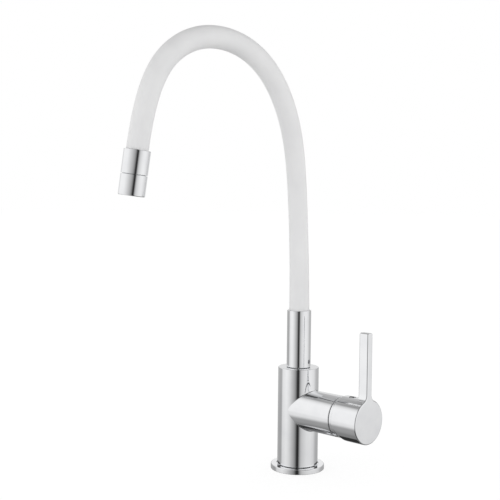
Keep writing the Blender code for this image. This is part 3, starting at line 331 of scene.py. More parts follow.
# %% World
SKY = (  # (height of the direction from -1 to 1, brightness)
    (-1.0, 0.95), (-0.10, 1.14), (0.10, 1.32), (0.40, 1.14), (0.70, 0.60), (1.0, 0.28),
)
SKY_SCALE = 2.0  # the sky's ramp holds its greys divided by this, which keeps them between 0 and 1


def make_world():
    world = bpy.data.worlds.new("light of the tent")
    world.use_nodes = True
    bpy.context.scene.world = world
    tree = world.node_tree
    tree.nodes.clear()
    place = node(tree, "TexCoord").outputs["Generated"]
    height = node(tree, "SeparateXYZ", {"Vector": place}).outputs["Z"]
    sky = math_node(tree, "MULTIPLY", ramp_by_height(tree, height, SKY, SKY_SCALE), SKY_SCALE)
    path = node(tree, "LightPath").outputs
    plain = math_node(tree, "MAXIMUM", path["Is Camera Ray"], path["Is Glossy Ray"])
    plain = math_node(tree, "MAXIMUM", plain, path["Is Transmission Ray"])
    brightness = node(tree, "Mix", {0: plain, 2: sky, 3: 1.0})
    brightness.data_type = "FLOAT"
    node(tree, "OutputWorld", {
        "Surface": node(tree, "Background", {"Color": flat_grey(1.0), "Strength": brightness})})
    print("world made with", len(tree.nodes), "nodes")


make_world()
bpy.context.scene.view_settings.view_transform = "Standard"


# %% [markdown]
# The floor is a wide pale disc. It takes the tap's soft shadow, and the camera sees it almost white. Mirror
# rays pass through it to the tent, which already holds what the chrome sees of the table, with the tap's
# shadow on it painted in.

# %% Floor
FLOOR_R = 14.0
FLOOR_SIDES = 96
FLOOR_GREY = 0.92
FLOOR_SEEN_GREY = 0.30
FLOOR_SEEN_GLOW = 0.80


def new_material(name):
    material = bpy.data.materials.new(name)
    material.use_nodes = True
    return material, material.node_tree, material.node_tree.nodes["Principled BSDF"]


def make_floor():
    angles = np.linspace(0.0, math.tau, FLOOR_SIDES, endpoint=False)
    rim = np.column_stack((np.cos(angles), np.sin(angles), np.zeros(FLOOR_SIDES))) * FLOOR_R
    mesh = bpy.data.meshes.new("floor")
    mesh.from_pydata(rim.tolist(), [], [tuple(range(FLOOR_SIDES))])
    floor = bpy.data.objects.new("floor", mesh)
    bpy.context.scene.collection.objects.link(floor)
    material, tree, shader = new_material("pale floor")
    tree.nodes.remove(shader)
    path = node(tree, "LightPath").outputs
    soft, seen = (node(tree, "BsdfDiffuse", {"Color": flat_grey(grey)})
                  for grey in (FLOOR_GREY, FLOOR_SEEN_GREY))
    lit = node(tree, "AddShader", {0: seen, 1: node(tree, "Emission", {"Strength": FLOOR_SEEN_GLOW})})
    by_camera = node(tree, "MixShader", {0: path["Is Camera Ray"], 1: soft, 2: lit})
    clear = node(tree, "BsdfTransparent")
    by_gloss = node(tree, "MixShader", {0: path["Is Glossy Ray"], 1: by_camera, 2: clear})
    tree.links.new(by_gloss.outputs[0], tree.nodes["Material Output"].inputs["Surface"])
    mesh.materials.append(material)
    print("floor radius", FLOOR_R, "m")


make_floor()


# %% [markdown]
# Two soft lamps stand low in front of the tap, left and right of the camera, and light the arch of the sleeve
# from below. They are kept weak, because the world gives most of the light.

# %% Lamps
LAMP_SIZE = 0.3
LAMP_WATTS = 1.45
LAMP_PLACES = (("left lamp", (-0.35, -1.15, 0.16)), ("right lamp", (1.15, 0.15, 0.16)))
LAMP_AIM = (0.0, -0.08, 0.36)


def make_lamps():
    for name, place in LAMP_PLACES:
        lamp = bpy.data.lights.new(name, "AREA")
        lamp.size = LAMP_SIZE
        lamp.energy = LAMP_WATTS
        stand = bpy.data.objects.new(name, lamp)
        bpy.context.scene.collection.objects.link(stand)
        way = Vector(LAMP_AIM) - Vector(place)
        stand.location = place
        stand.rotation_euler = way.to_track_quat("-Z", "Y").to_euler()
        stand.visible_glossy = False
    print("lamps:", len(LAMP_PLACES))


make_lamps()


# %% [markdown]
# ## Finishes
#
# Chrome plate is a near mirror. A polished casting is never quite flat, so a wide, very faint bump bends its
# reflections a little, and its gloss varies by a few hundredths where hands and cloths have been. Patterns
# run on Object coordinates, in metres, so that they have the same scale on every piece.

# %% Helpers for finishes
NOISE_DETAIL = 3.0
NOISE_MIDDLE = (0.35, 0.65)  # most of a noise's values lie between these


def noise(tree, scale):
    """Noise on Object coordinates, scale cells to the metre."""
    place = node(tree, "TexCoord").outputs["Object"]
    return node(tree, "TexNoise", {"Vector": place, "Scale": scale, "Detail": NOISE_DETAIL})


def finish(name, dark, light, metallic, gloss, gloss_scale, bump_scale, bump_strength, bump_depth):
    """A finish with a colour between two, a roughness within the gloss pair, and noise as its bump."""
    material, tree, shader = new_material(name)
    grain = noise(tree, gloss_scale)
    colour = mix_colours(tree, remap(tree, grain, NOISE_MIDDLE), (*dark, 1.0), (*light, 1.0))
    roughness = remap(tree, grain, NOISE_MIDDLE, gloss).outputs[0]
    waves = noise(tree, bump_scale)
    bump = node(tree, "Bump", {"Strength": bump_strength, "Distance": bump_depth, "Height": waves}).outputs[0]
    for socket, source in (("Base Color", colour), ("Roughness", roughness), ("Normal", bump)):
        tree.links.new(source, shader.inputs[socket])
    shader.inputs["Metallic"].default_value = metallic
    return material


# %% Chrome, silicone and the finishes inside
FINISHES = {  # dark and light colour, metallic, roughness and its scale, bump's scale, strength and depth
    "chrome plate": ((0.86, 0.865, 0.88), (0.90, 0.905, 0.915), 1.0, (0.030, 0.060), 70, 28, 0.03, 0.0006),
    "white silicone": ((0.78, 0.78, 0.785), (0.81, 0.81, 0.812), 0.0, (0.50, 0.60), 40, 2200, 0.10, 0.0002),
    "turned brass": ((0.64, 0.45, 0.20), (0.74, 0.57, 0.30), 1.0, (0.22, 0.34), 120, 900, 0.10, 0.0002),
    "stainless steel": ((0.55, 0.55, 0.57), (0.63, 0.63, 0.65), 1.0, (0.20, 0.32), 200, 1500, 0.10, 0.0002),
    "black rubber": ((0.020, 0.020, 0.021), (0.036, 0.036, 0.037), 0.0, (0.60, 0.78), 150, 1800, 0.3, 0.0003),
    "moulded plastic": ((0.66, 0.68, 0.70), (0.72, 0.74, 0.76), 0.0, (0.36, 0.46), 90, 1400, 0.1, 0.0002),
    "extruded tube": ((0.70, 0.71, 0.73), (0.77, 0.78, 0.80), 0.0, (0.30, 0.42), 60, 700, 0.1, 0.0003),
    "lapped ceramic": ((0.87, 0.85, 0.81), (0.92, 0.90, 0.86), 0.0, (0.10, 0.20), 160, 2500, 0.05, 0.0001),
}
chrome, silicone, brass, steel, rubber, plastic, tubing, ceramic = (
    finish(name, *values) for name, values in FINISHES.items())
print("finishes made:", len(bpy.data.materials))


# %% Dressing a piece
def dress(piece, material, body, slot, *replaced):
    """Gives a finished piece its material and its body, and hides the nodes that it stands for. The slot is
    not used.
    """
    piece.data.materials.clear()
    piece.data.materials.append(material)
    if body:
        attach(piece, body)
    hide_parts(*replaced)
    print(f"{piece.name}: {len(piece.data.polygons)} faces, for {', '.join(replaced)}")


# %% [markdown]
# ## Turned pieces
#
# A turned piece is a profile carried round an axis. The profile is a list of corners. A rounded corner
# becomes a short arc, with one more point just before and after it, so that the flat or straight part
# beside it keeps its own shading.

# %% Turned shapes
TURN_SIDES = 144
ARC_POINTS = 6
GUARD_SHARE = 0.2
CUTTER_SIDES = 48


def rounded(corners):
    """The points of a closed profile. Each corner is (radius, height, fillet): the arc's centre lies on the
    half-angle line, and the arc runs evenly from one edge's touching point to the other's."""
    places = np.array([corner[:2] for corner in corners], float)
    before = np.roll(places, 1, axis=0) - places
    after = np.roll(places, -1, axis=0) - places
    before /= np.linalg.norm(before, axis=1)[:, None]
    after /= np.linalg.norm(after, axis=1)[:, None]
    points = []
    for corner, back, on, (_, _, fillet) in zip(places, before, after, corners):
        if not fillet:
            points.append(corner[None])
            continue
        half = math.acos(np.clip(back @ on, -1, 1)) / 2
        reach = fillet / math.tan(half)
        centre = corner + (back + on) / np.linalg.norm(back + on) * fillet / math.sin(half)
        start, stop = corner + back * reach, corner + on * reach
        sweep = math.pi - 2 * half
        share = np.linspace(0.0, 1.0, ARC_POINTS)[:, None]
        arc = np.sin((1 - share) * sweep) * (start - centre) + np.sin(share * sweep) * (stop - centre)
        guard = fillet * GUARD_SHARE
        points += [(start + back * guard)[None], centre + arc / math.sin(sweep), (stop + on * guard)[None]]
    return np.concatenate(points)


def turned_skin(profile, place=None, sides=TURN_SIDES):
    """A profile of (radius, height) carried round Z, x = radius cos a and y = radius sin a, then placed."""
    angles = np.linspace(0.0, math.tau, sides, endpoint=False)
    radius, height = profile[:, 0, None], profile[:, 1, None]
    grid = np.stack((radius * np.cos(angles), radius * np.sin(angles), height + 0.0 * angles), axis=-1)
    if place is not None:
        grid = grid @ place[:3, :3].T + place[:3, 3]
    return grid


def turned_piece(name, corners, place=None, sides=TURN_SIDES):
    profile = rounded(corners)
    return skin_object(name, [(turned_skin(profile, place, sides), corners[0][0] > 0)])


def placed(x_axis, y_axis, z_axis, origin):
    matrix = np.eye(4)
    matrix[:3, 0], matrix[:3, 1], matrix[:3, 2], matrix[:3, 3] = x_axis, y_axis, z_axis, origin
    return matrix


def moved(x, y, z):
    return placed((1, 0, 0), (0, 1, 0), (0, 0, 1), (x, y, z))


def rod(radius, low, high):
    """The corners of a plain rod's profile."""
    return [(0.0, low, 0), (radius, low, 0), (radius, high, 0), (0.0, high, 0)]


def rod_cutter(radius, low, high, place):
    return turned_piece("cutter", rod(radius, low, high), place, CUTTER_SIDES)


def cut_away(piece, *cutters):
    """Cuts closed cutters out of a piece for good, and shades it afresh."""
    for cutter in cutters:
        modifier = piece.modifiers.new("cut", "BOOLEAN")
        modifier.operation = "DIFFERENCE"
        modifier.object = cutter
    bpy.context.view_layer.update()
    cut = bpy.data.meshes.new_from_object(piece.evaluated_get(bpy.context.evaluated_depsgraph_get()))
    piece.modifiers.clear()
    piece.data = cut
    for cutter in cutters:
        bpy.data.objects.remove(cutter)
    shade(cut)


# %% [markdown]
# ## Foot and column
#
# The foot is a flat ring with a soft upper edge. The column and the barrel are one casting on the real tap.
# Here they are two closed skins that run into each other. The barrel's skin starts where it meets the
# column, which is a saddle-shaped line, and a tiny hollow fillet softens the corner above and below.

# %% Foot ring
FLANGE_R = 0.02645
FLANGE_T = 0.0047
FLANGE_BORE_R = 0.0173
GROOVE_R = (0.019725, 0.024025)
GROOVE_D = 0.0020
REBATE_R = 0.0210
REBATE_D = 0.0006
REBATE_EDGE = 0.0001
FLANGE_EDGES = (0.0003, 0.0007)  # below and above

foot = turned_piece("foot_ring", [
    (FLANGE_BORE_R, FLANGE_T - REBATE_D, 0), (REBATE_R, FLANGE_T - REBATE_D, 0),
    (REBATE_R, FLANGE_T, REBATE_EDGE), (FLANGE_R, FLANGE_T, FLANGE_EDGES[1]),
    (FLANGE_R, 0.0, FLANGE_EDGES[0]), (GROOVE_R[1], 0.0, 0), (GROOVE_R[1], GROOVE_D, 0),
    (GROOVE_R[0], GROOVE_D, 0), (GROOVE_R[0], 0.0, 0), (FLANGE_BORE_R, 0.0, 0),
])
dress(foot, chrome, "tap_body", "chrome", "base_flange")

# %% Casting
COLUMN_R = 0.0200
COLUMN_FOOT = 0.0050
COLUMN_TOP = 0.1012
COLUMN_EDGES = (0.0005, 0.0006)  # below and above
SPIGOT_R = 0.0170
SPIGOT_FOOT = 0.0010
HOLLOW_R = 0.0145
HOLLOW_TOP = 0.0380
SPOUT_BORE_R = 0.0050
SPOUT_BORE_FOOT = 0.0533
NIPPLE_SOCKET_R = 0.0080
NIPPLE_SOCKET = 0.0843
AXIS_HEIGHT = 0.0604
BARREL_R = 0.0196
BARREL_END = 0.0545
BARREL_EDGE = 0.0005
COUNTERBORE_R = 0.0161
COUNTERBORE = 0.0465
BORE_R = 0.0143
SEAT = 0.0260
SADDLE_FILLET = 0.0012
SADDLE_ROWS = 6
SUNK = 0.0005
ALONG_BARREL = placed((0, 1, 0), (0, 0, 1), (1, 0, 0), (0, 0, AXIS_HEIGHT))

column_profile = rounded([
    (0.0, SPOUT_BORE_FOOT, 0), (SPOUT_BORE_R, SPOUT_BORE_FOOT, 0), (SPOUT_BORE_R, NIPPLE_SOCKET, 0),
    (NIPPLE_SOCKET_R, NIPPLE_SOCKET, 0), (NIPPLE_SOCKET_R, COLUMN_TOP, 0),
    (COLUMN_R, COLUMN_TOP, COLUMN_EDGES[1]), (COLUMN_R, COLUMN_FOOT, COLUMN_EDGES[0]),
    (SPIGOT_R, COLUMN_FOOT, 0), (SPIGOT_R, SPIGOT_FOOT, 0),
    (HOLLOW_R, SPIGOT_FOOT, 0), (HOLLOW_R, HOLLOW_TOP, 0), (0.0, HOLLOW_TOP, 0),
])


def barrel_skin():
    """Round the barrel by angle a, from its top: a point (r sin a, r cos a) meets the column where its
    distance along the barrel is the root of the column's radius squared less (r sin a) squared. Each row of
    the fillet adds its own radius and distance, both shrunk by cos a squared, because the surfaces run
    together at the sides. The first ring lies a little deeper, inside the column."""
    angles = np.linspace(0.0, math.tau, TURN_SIDES, endpoint=False)
    size = SADDLE_FILLET * np.cos(angles) ** 2
    step = np.linspace(0.0, math.pi / 2, SADDLE_ROWS)[:, None]
    radius = BARREL_R + size * (1 - np.sin(step))
    on_column = np.sqrt(COLUMN_R**2 - (radius * np.sin(angles)) ** 2)
    along = on_column + size * (1 - np.cos(step))
    sunk = (radius[:1], along[:1] - SUNK)
    end = rounded([
        (BARREL_R, 0.0, 0), (BARREL_R, BARREL_END, BARREL_EDGE), (COUNTERBORE_R, BARREL_END, 0),
        (COUNTERBORE_R, COUNTERBORE, 0), (BORE_R, COUNTERBORE, 0), (BORE_R, SEAT, 0), (0.0, SEAT, 0),
    ])[1:]
    full = np.ones_like(angles)
    all_radius = np.concatenate((0.0 * sunk[0], sunk[0], radius, end[:, :1] * full))
    all_along = np.concatenate((0.0 * sunk[0] + SUNK, sunk[1], along, end[:, 1:] * full))
    across, up = all_radius * np.sin(angles), all_radius * np.cos(angles)
    return np.stack((all_along, across, up + AXIS_HEIGHT), axis=-1)


SOCKETS = (  # middle, radius and top of the two inlet sockets and the stud's
    ((0.0060, -0.0065), 0.0042, 0.0500), ((0.0060, 0.0065), 0.0042, 0.0500), ((-0.0095, 0.0), 0.0034, 0.0520),
)
OVERRUN = 0.002

casting = skin_object("casting", [(turned_skin(column_profile), False)])
cut_away(casting, *[rod_cutter(radius, HOLLOW_TOP - OVERRUN, top, moved(*middle, 0.0))
                    for middle, radius, top in SOCKETS])
barrel = skin_object("barrel", [(barrel_skin(), False)])
both = bmesh.new()
both.from_mesh(casting.data)
both.from_mesh(barrel.data)
both.to_mesh(casting.data)
both.free()
bpy.data.objects.remove(barrel)
shade(casting.data)
dress(casting, chrome, "tap_body", "chrome", "body_casting")


# %% [markdown]
# ## Trim band
#
# A narrow chrome band screws down on the cartridge nut and closes the barrel. A hairline joint shows on each
# side of it. A tongue on the band's rear closes the joint with the barrel further in.

# %% Trim band
TRIM_R = 0.0195
TRIM_REAR = 0.0551
TRIM_LIP = 0.0573
TRIM_FRONT = 0.0603
TRIM_OPENING_R = 0.0115
TRIM_EDGE = 0.0005
TONGUE_R = 0.0170
TONGUE_REAR = 0.0547

trim = turned_piece("trim_band", [
    (TRIM_OPENING_R, TRIM_FRONT, 0), (TRIM_R, TRIM_FRONT, TRIM_EDGE), (TRIM_R, TRIM_REAR, TRIM_EDGE),
    (TONGUE_R, TRIM_REAR, 0), (TONGUE_R, TONGUE_REAR, 0), (COUNTERBORE_R, TONGUE_REAR, 0),
    (COUNTERBORE_R, TRIM_LIP, 0), (TRIM_OPENING_R, TRIM_LIP, 0),
], ALONG_BARREL)
dress(trim, chrome, "tap_body", "chrome", "trim_ring")


# %% [markdown]
# ## Lever
#
# The hub and its blade are one piece of metal, and their front is one flat face. So one skin makes both. Its
# outline from the front is the hub's circle, broken by two hollow fillets and the blade. Row by row it goes
# from the middle of the front face out over the rounded edge, back along the side, in to the circle behind
# the blade, and back along the hub to its rear edge. That edge is cut slantwise below, which is the
# clearance that lets the lever tilt.

# %% Lever outline
HUB_R = 0.0210
HUB_FRONT = 0.0877
HUB_REAR = 0.0589
BLADE_HALF = 0.0036
BLADE_D = 0.0104
BLADE_TOP = 0.0834
BLADE_CORNER_R = 0.0018
BLADE_FILLET_R = 0.0070
FRONT_EDGE = 0.0012
OUTLINE_ARC = 200
OUTLINE_FILLET = 28
OUTLINE_SIDE = 30
OUTLINE_CORNER = 10


def lever_outline():
    """The outline from the front as (y, z) points, clockwise from the top of the blade: corner, straight
    side, hollow fillet, hub circle, and the same again mirrored."""
    fillet_y = BLADE_HALF + BLADE_FILLET_R
    fillet_z = math.sqrt((HUB_R + BLADE_FILLET_R) ** 2 - fillet_y**2)
    meets = math.atan2(fillet_y, fillet_z)  # the hub's angle from the top where the fillet touches it
    turn = np.linspace(0.0, math.pi / 2, OUTLINE_CORNER)
    corner = np.column_stack((BLADE_HALF - BLADE_CORNER_R + BLADE_CORNER_R * np.sin(turn),
                              BLADE_TOP - BLADE_CORNER_R + BLADE_CORNER_R * np.cos(turn)))
    side_z = np.linspace(BLADE_TOP - BLADE_CORNER_R, fillet_z, OUTLINE_SIDE)[1:-1]
    side = np.column_stack((np.full_like(side_z, BLADE_HALF), side_z))
    hollow = np.linspace(0.0, math.pi / 2 - meets, OUTLINE_FILLET)
    fillet = (fillet_y, fillet_z) - BLADE_FILLET_R * np.column_stack((np.cos(hollow), np.sin(hollow)))
    round_hub = np.linspace(meets, math.tau - meets, OUTLINE_ARC)[1:-1]
    circle = HUB_R * np.column_stack((np.sin(round_hub), np.cos(round_hub)))
    right = np.concatenate((corner, side, fillet))
    return np.concatenate((right, circle, right[::-1] * (-1, 1)))


def outward(outline):
    """The outward direction at each point: a quarter turn from the line between its neighbours."""
    along = np.roll(outline, -1, axis=0) - np.roll(outline, 1, axis=0)
    along /= np.linalg.norm(along, axis=1)[:, None]
    return np.column_stack((-along[:, 1], along[:, 0]))


# %% Lever skin
BLADE_REAR = HUB_FRONT - BLADE_D
RELIEF_TOP = 0.0035
RELIEF_L = 0.0090
RELIEF_SLOPE = RELIEF_L / (HUB_R - RELIEF_TOP)
REAR_EDGE = 0.00025
SKIRT_R = 0.0200
SKIRT_END = 0.0660
INNER_R = 0.0185
INNER_END = 0.0675
INNER_FRONT = 0.0830
BOSS_R = 0.0070
BOSS_REAR = 0.0651
FADE = 0.0030
EDGE_ROWS = 6
FRONT_GUARD = FRONT_EDGE * (1 + GUARD_SHARE)
REAR_GUARD = REAR_EDGE * (1 + GUARD_SHARE)


def cut_rear(ring, floor):
    """How far along the barrel a ring of (y, z) points starts: the floor given, or the slanting cut below."""
    return np.maximum(floor, HUB_REAR + (-RELIEF_TOP - ring[:, 1]) * RELIEF_SLOPE)


def lever_skin():
    """Rows of (along, y, z). An edge row k lies inward by size (1 - sin k) and back by size (1 - cos k)."""
    outline = lever_outline()
    out = outward(outline)
    away = np.linalg.norm(outline, axis=1)
    unit = outline / away[:, None]
    hub = unit * HUB_R
    fade = np.clip((away - HUB_R) / FADE, 0.0, 1.0)[:, None]
    turn = np.linspace(0.0, math.pi / 2, EDGE_ROWS)
    flat = np.ones(len(outline))
    rows = [(outline * 0.0, HUB_FRONT * flat), (outline - out * FRONT_GUARD, HUB_FRONT * flat)]
    for k in turn:
        along = HUB_FRONT - FRONT_EDGE * (1 - math.cos(k))
        rows.append((outline - out * FRONT_EDGE * (1 - math.sin(k)), along * flat))
    rows += [(outline, (HUB_FRONT - FRONT_GUARD) * flat), (outline, (BLADE_REAR + FRONT_GUARD) * flat)]
    for k in turn[::-1]:
        along = BLADE_REAR + FRONT_EDGE * (1 - math.cos(k)) * fade[:, 0] + FRONT_EDGE * (1 - fade[:, 0])
        rows.append((outline - out * FRONT_EDGE * (1 - math.sin(k)) * fade, along))
    rows.append((hub, BLADE_REAR + FRONT_EDGE * (1 - fade[:, 0])))
    rear = cut_rear(hub, HUB_REAR)
    rows += [(hub, (BLADE_REAR + rear) / 2), (hub, rear + REAR_GUARD)]
    for k in turn[::-1]:
        ring = unit * (HUB_R - REAR_EDGE * (1 - math.sin(k)))
        rows.append((ring, cut_rear(ring, HUB_REAR) + REAR_EDGE * (1 - math.cos(k))))
    for radius, floor in ((SKIRT_R, HUB_REAR), (SKIRT_R, SKIRT_END),
                          (INNER_R, INNER_END), (INNER_R, INNER_FRONT)):
        ring = unit * radius
        rows.append((ring, cut_rear(ring, floor)))
    for radius, along in ((BOSS_R, INNER_FRONT), (BOSS_R, BOSS_REAR), (0.0, BOSS_REAR)):
        rows.append((unit * radius, along * flat))
    grid = np.stack([np.column_stack((along, ring)) for ring, along in rows])
    return grid + (0.0, 0.0, AXIS_HEIGHT)


def block_cutter(low, high):
    """A closed box between two corners, as a four-sided skin with a pole at each end."""
    (x0, y0, z0), (x1, y1, z1) = low, high
    ring = np.array(((y0, z0), (y1, z0), (y1, z1), (y0, z1)))
    middle = np.broadcast_to(ring.mean(axis=0), ring.shape)
    rows = ((middle, x0), (ring, x0), (ring, x1), (middle, x1))
    grid = np.stack([np.column_stack((np.full(4, x), yz)) for yz, x in rows])
    return skin_object("cutter", [(grid, False)])


STEM_SIDE = 0.0038
STEM_END = 0.0793
SCREW_ALONG = 0.0680
SCREW_HOLE_R = 0.0025
SCREW_FOOT = 0.0035
SCREW_MOUTH = (0.0033, 0.0030)  # radius and depth of its wider mouth

lever = skin_object("lever_hub_and_blade", [(lever_skin(), False)])
stem_hole = block_cutter((BOSS_REAR - OVERRUN, -STEM_SIDE, AXIS_HEIGHT - STEM_SIDE),
                         (STEM_END, STEM_SIDE, AXIS_HEIGHT + STEM_SIDE))
screw_hole = turned_piece("cutter", [
    (0.0, SCREW_FOOT, 0), (SCREW_HOLE_R, SCREW_FOOT, 0), (SCREW_HOLE_R, HUB_R - SCREW_MOUTH[1], 0),
    (SCREW_MOUTH[0], HUB_R - SCREW_MOUTH[1], 0), (SCREW_MOUTH[0], HUB_R + OVERRUN, 0),
    (0.0, HUB_R + OVERRUN, 0),
], moved(SCREW_ALONG, 0.0, AXIS_HEIGHT), CUTTER_SIDES)
cut_away(lever, stem_hole, screw_hole)
dress(lever, chrome, "lever", "chrome", "lever_handle")


# %% [markdown]
# ## Collar and its washer
#
# The collar turns on a plastic washer on top of the column, and its thin lip hides the washer. Two small
# screws in its side keep it from lifting. The one towards the lever is the dark speck low on the collar.

# %% Collar
COLLAR_R = 0.0118
COLLAR_FOOT = 0.1026
COLLAR_TOP = 0.1575
COLLAR_STEP = 0.1409
COLLAR_EDGE = 0.0003
COLLAR_LIP = (0.0116, 0.1018)  # radius inside the lip and height of its foot
COLLAR_LIP_EDGE = 0.00008
NIPPLE_BORE_R = 0.0095
ENTRY_R = 0.01035
ENTRY_EDGE = 0.0002
COLLAR_SCREW_HEIGHT = 0.1072
COLLAR_SCREW_HOLE_R = 0.0020
COLLAR_SCREW_BEARINGS = (math.radians(101.0), math.radians(11.0))


def pointing(bearing, height):
    """A place whose Z points out level at a bearing from +X."""
    out = (math.cos(bearing), math.sin(bearing), 0.0)
    aside = (-math.sin(bearing), math.cos(bearing), 0.0)
    return placed(aside, (0, 0, 1), out, (0, 0, height))


collar = turned_piece("collar_tube", [
    (ENTRY_R, COLLAR_TOP, ENTRY_EDGE), (COLLAR_R, COLLAR_TOP, COLLAR_EDGE),
    (COLLAR_R, COLLAR_LIP[1], COLLAR_LIP_EDGE), (*COLLAR_LIP, 0), (COLLAR_LIP[0], COLLAR_FOOT, 0),
    (NIPPLE_BORE_R, COLLAR_FOOT, 0), (NIPPLE_BORE_R, COLLAR_STEP, 0), (ENTRY_R, COLLAR_STEP, 0),
])
cut_away(collar, *[rod_cutter(COLLAR_SCREW_HOLE_R, COLLAR_R - 2 * OVERRUN, COLLAR_R + OVERRUN,
                              pointing(bearing, COLLAR_SCREW_HEIGHT)) for bearing in COLLAR_SCREW_BEARINGS])
dress(collar, chrome, "spout_base", "chrome", "spout_collar")

# %% Slip washer
SLIP_RING = (0.1015, 0.1023)
SLIP_RING_R = (0.0097, 0.0115)
SLIP_RING_EDGE = 0.0001

washer = turned_piece("slip_washer", [
    (SLIP_RING_R[0], SLIP_RING[1], 0), (SLIP_RING_R[1], SLIP_RING[1], SLIP_RING_EDGE),
    (SLIP_RING_R[1], SLIP_RING[0], SLIP_RING_EDGE), (SLIP_RING_R[0], SLIP_RING[0], 0),
])
dress(washer, plastic, "tap_body", "cartridge_plastic", "slip_ring")


# %% [markdown]
# ## Spout route
#
# The spout's line is a smooth B-spline: up out of the collar, over the top and down to the outlet. Its nine
# control points are given as (out, up, sideways). The sleeve is thinner where it is stretched on the riser.

# %% Route
SPOUT_SWING = math.radians(-101.8)
SPOUT_OUT = np.array((math.cos(SPOUT_SWING), math.sin(SPOUT_SWING), 0.0))
SPOUT_ASIDE = np.array((-math.sin(SPOUT_SWING), math.cos(SPOUT_SWING), 0.0))
SPOUT_REACH = 0.1774
SPOUT_RISE = 0.2640
HOSE_FOOT = 0.1495
HOSE_ENTRY = 0.0080
ROUTE_SHARES = np.array((
    (0.0, 0.0, 0.0), (0.0, 0.1761, 0.0), (0.0175, 0.4409, 0.0), (0.0519, 0.7129, 0.0), (0.2221, 0.9330, 0.0),
    (0.5017, 1.0193, 0.0), (0.8050, 0.9780, 0.0), (0.9650, 0.8182, 0.0107), (1.0, 0.6019, -0.0107),
))
SLEEVE_R = 0.0100
SLEEVE_RADIUS_SHARES = np.array((1.005, 0.929, 0.920, 1.103, 0.982, 0.997))
ROUTE_SAMPLES = 400
DEGREE = 3
SLIGHT = 1e-9  # keeps the last point inside the last span, and a knot gap from being nothing


def spline(controls, shares):
    """Points of the clamped cubic B-spline: the mean of the controls, weighted by the basis, which each level
    builds from the last as a rise over the knots behind and a fall over the knots ahead."""
    spans = len(controls) - DEGREE
    knots = np.concatenate((np.zeros(DEGREE), np.arange(spans + 1), np.full(DEGREE, spans))).astype(float)
    place = np.clip(np.atleast_1d(shares) * spans, 0.0, spans - SLIGHT)[:, None]
    basis = ((knots[:-1] <= place) & (place < knots[1:])).astype(float)
    for level in range(1, DEGREE + 1):
        rise = np.maximum(knots[level:-1] - knots[: -level - 1], SLIGHT)
        fall = np.maximum(knots[level + 1 :] - knots[1:-level], SLIGHT)
        up = (place - knots[: -level - 1]) / rise
        down = (knots[level + 1 :] - place) / fall
        basis = up * basis[:, :-1] + down * basis[:, 1:]
    return basis @ controls


controls = ROUTE_SHARES * (SPOUT_REACH, SPOUT_RISE, SPOUT_REACH) + (0.0, HOSE_FOOT, 0.0)
line = spline(controls, np.linspace(0.0, 1.0, ROUTE_SAMPLES + 1))
line = line[:, :1] * SPOUT_OUT + line[:, 2:] * SPOUT_ASIDE + line[:, 1:2] * (0.0, 0.0, 1.0)
line_runs = np.concatenate(([0.0], np.cumsum(np.linalg.norm(np.diff(line, axis=0), axis=1))))
SPOUT_L = line_runs[-1]
END_WAY = (line[-1] - line[-2]) / np.linalg.norm(line[-1] - line[-2])
print("spout line", round(SPOUT_L, 4), "m long, top at", round(line[:, 2].max(), 4))


def on_line(runs):
    """Places at runs along the line, which goes on straight past its end, and the directions there."""
    runs = np.atleast_1d(runs)

    def place(at):
        inside = np.column_stack([np.interp(at, line_runs, line[:, i]) for i in range(3)])
        return inside + np.maximum(at - SPOUT_L, 0.0)[:, None] * END_WAY

    step = SPOUT_L / ROUTE_SAMPLES
    way = place(runs + step) - place(np.maximum(runs - step, 0.0))
    return place(runs), way / np.linalg.norm(way, axis=1)[:, None]


# %% [markdown]
# ## Sleeve, core and water hose
#
# On the real tap the sleeve is one tube that bends wherever it is pushed. The model bends at three places,
# so each tube is made in three lengths, one round each bend, and the lengths meet half way between two bends,
# end ring on end ring, so no seam shows. Nothing here makes a length bend or ties it to a body. The core and
# the water hose inside follow the same line.

# %% Tubes along the line
SLEEVE_BORE_R = 0.0073
CORE_R = (0.0070, 0.0048)
WATER_HOSE_R = (0.0045, 0.0030)
SLEEVE_STEP, SLEEVE_SIDES = 0.0015, 72
INNER_STEP, CORE_SIDES, WATER_HOSE_SIDES = 0.0060, 32, 24
BENDS = (  # the CAD joints, as (place, half length that bends, body before, body after)
    ((-0.000192, -0.000919, 0.209490), 0.042, "spout_base", "spout_riser"),
    ((-0.020149, -0.096458, 0.413489), 0.036, "spout_riser", "spout_arch"),
    ((-0.033285, -0.162900, 0.362066), 0.036, "spout_arch", "spout_drop"),
)


def tube_skin(runs, outer, inner, sides):
    """Rings square to the line: centre + radius (cos a across + sin a over). The outer rings run on, the
    inner ones run back, and the skin closes at both ends."""
    centre, way = on_line(runs)
    across = SPOUT_ASIDE - way * (way @ SPOUT_ASIDE)[:, None]
    across /= np.linalg.norm(across, axis=1)[:, None]
    over = np.cross(way, across)
    angles = np.linspace(0.0, math.tau, sides, endpoint=False)[None, :, None]
    ring = np.cos(angles) * across[:, None] + np.sin(angles) * over[:, None]
    outside = centre[:, None] + np.broadcast_to(outer, runs.shape)[:, None, None] * ring
    inside = centre[:, None] + inner * ring
    return np.concatenate((outside, inside[::-1]))


def bend_runs():
    """The run of each bend on the line, and the seams half way between them."""
    at = [line_runs[np.argmin(np.linalg.norm(line - np.array(place), axis=1))] for place, *_ in BENDS]
    return at, [0.0, (at[0] + at[1]) / 2, (at[1] + at[2]) / 2, SPOUT_L + HOSE_ENTRY]


def bend(piece, number):
    """Bakes a length's place into its mesh. The line's direction at its bend is found, but not used."""
    _, way = on_line(bend_at[number])
    way = way[0]
    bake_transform(piece)


bend_at, seams = bend_runs()
NAMES = ("lower", "riser", "arch", "drop")
print("bends at", np.round(bend_at, 4), "seams at", np.round(seams, 4))


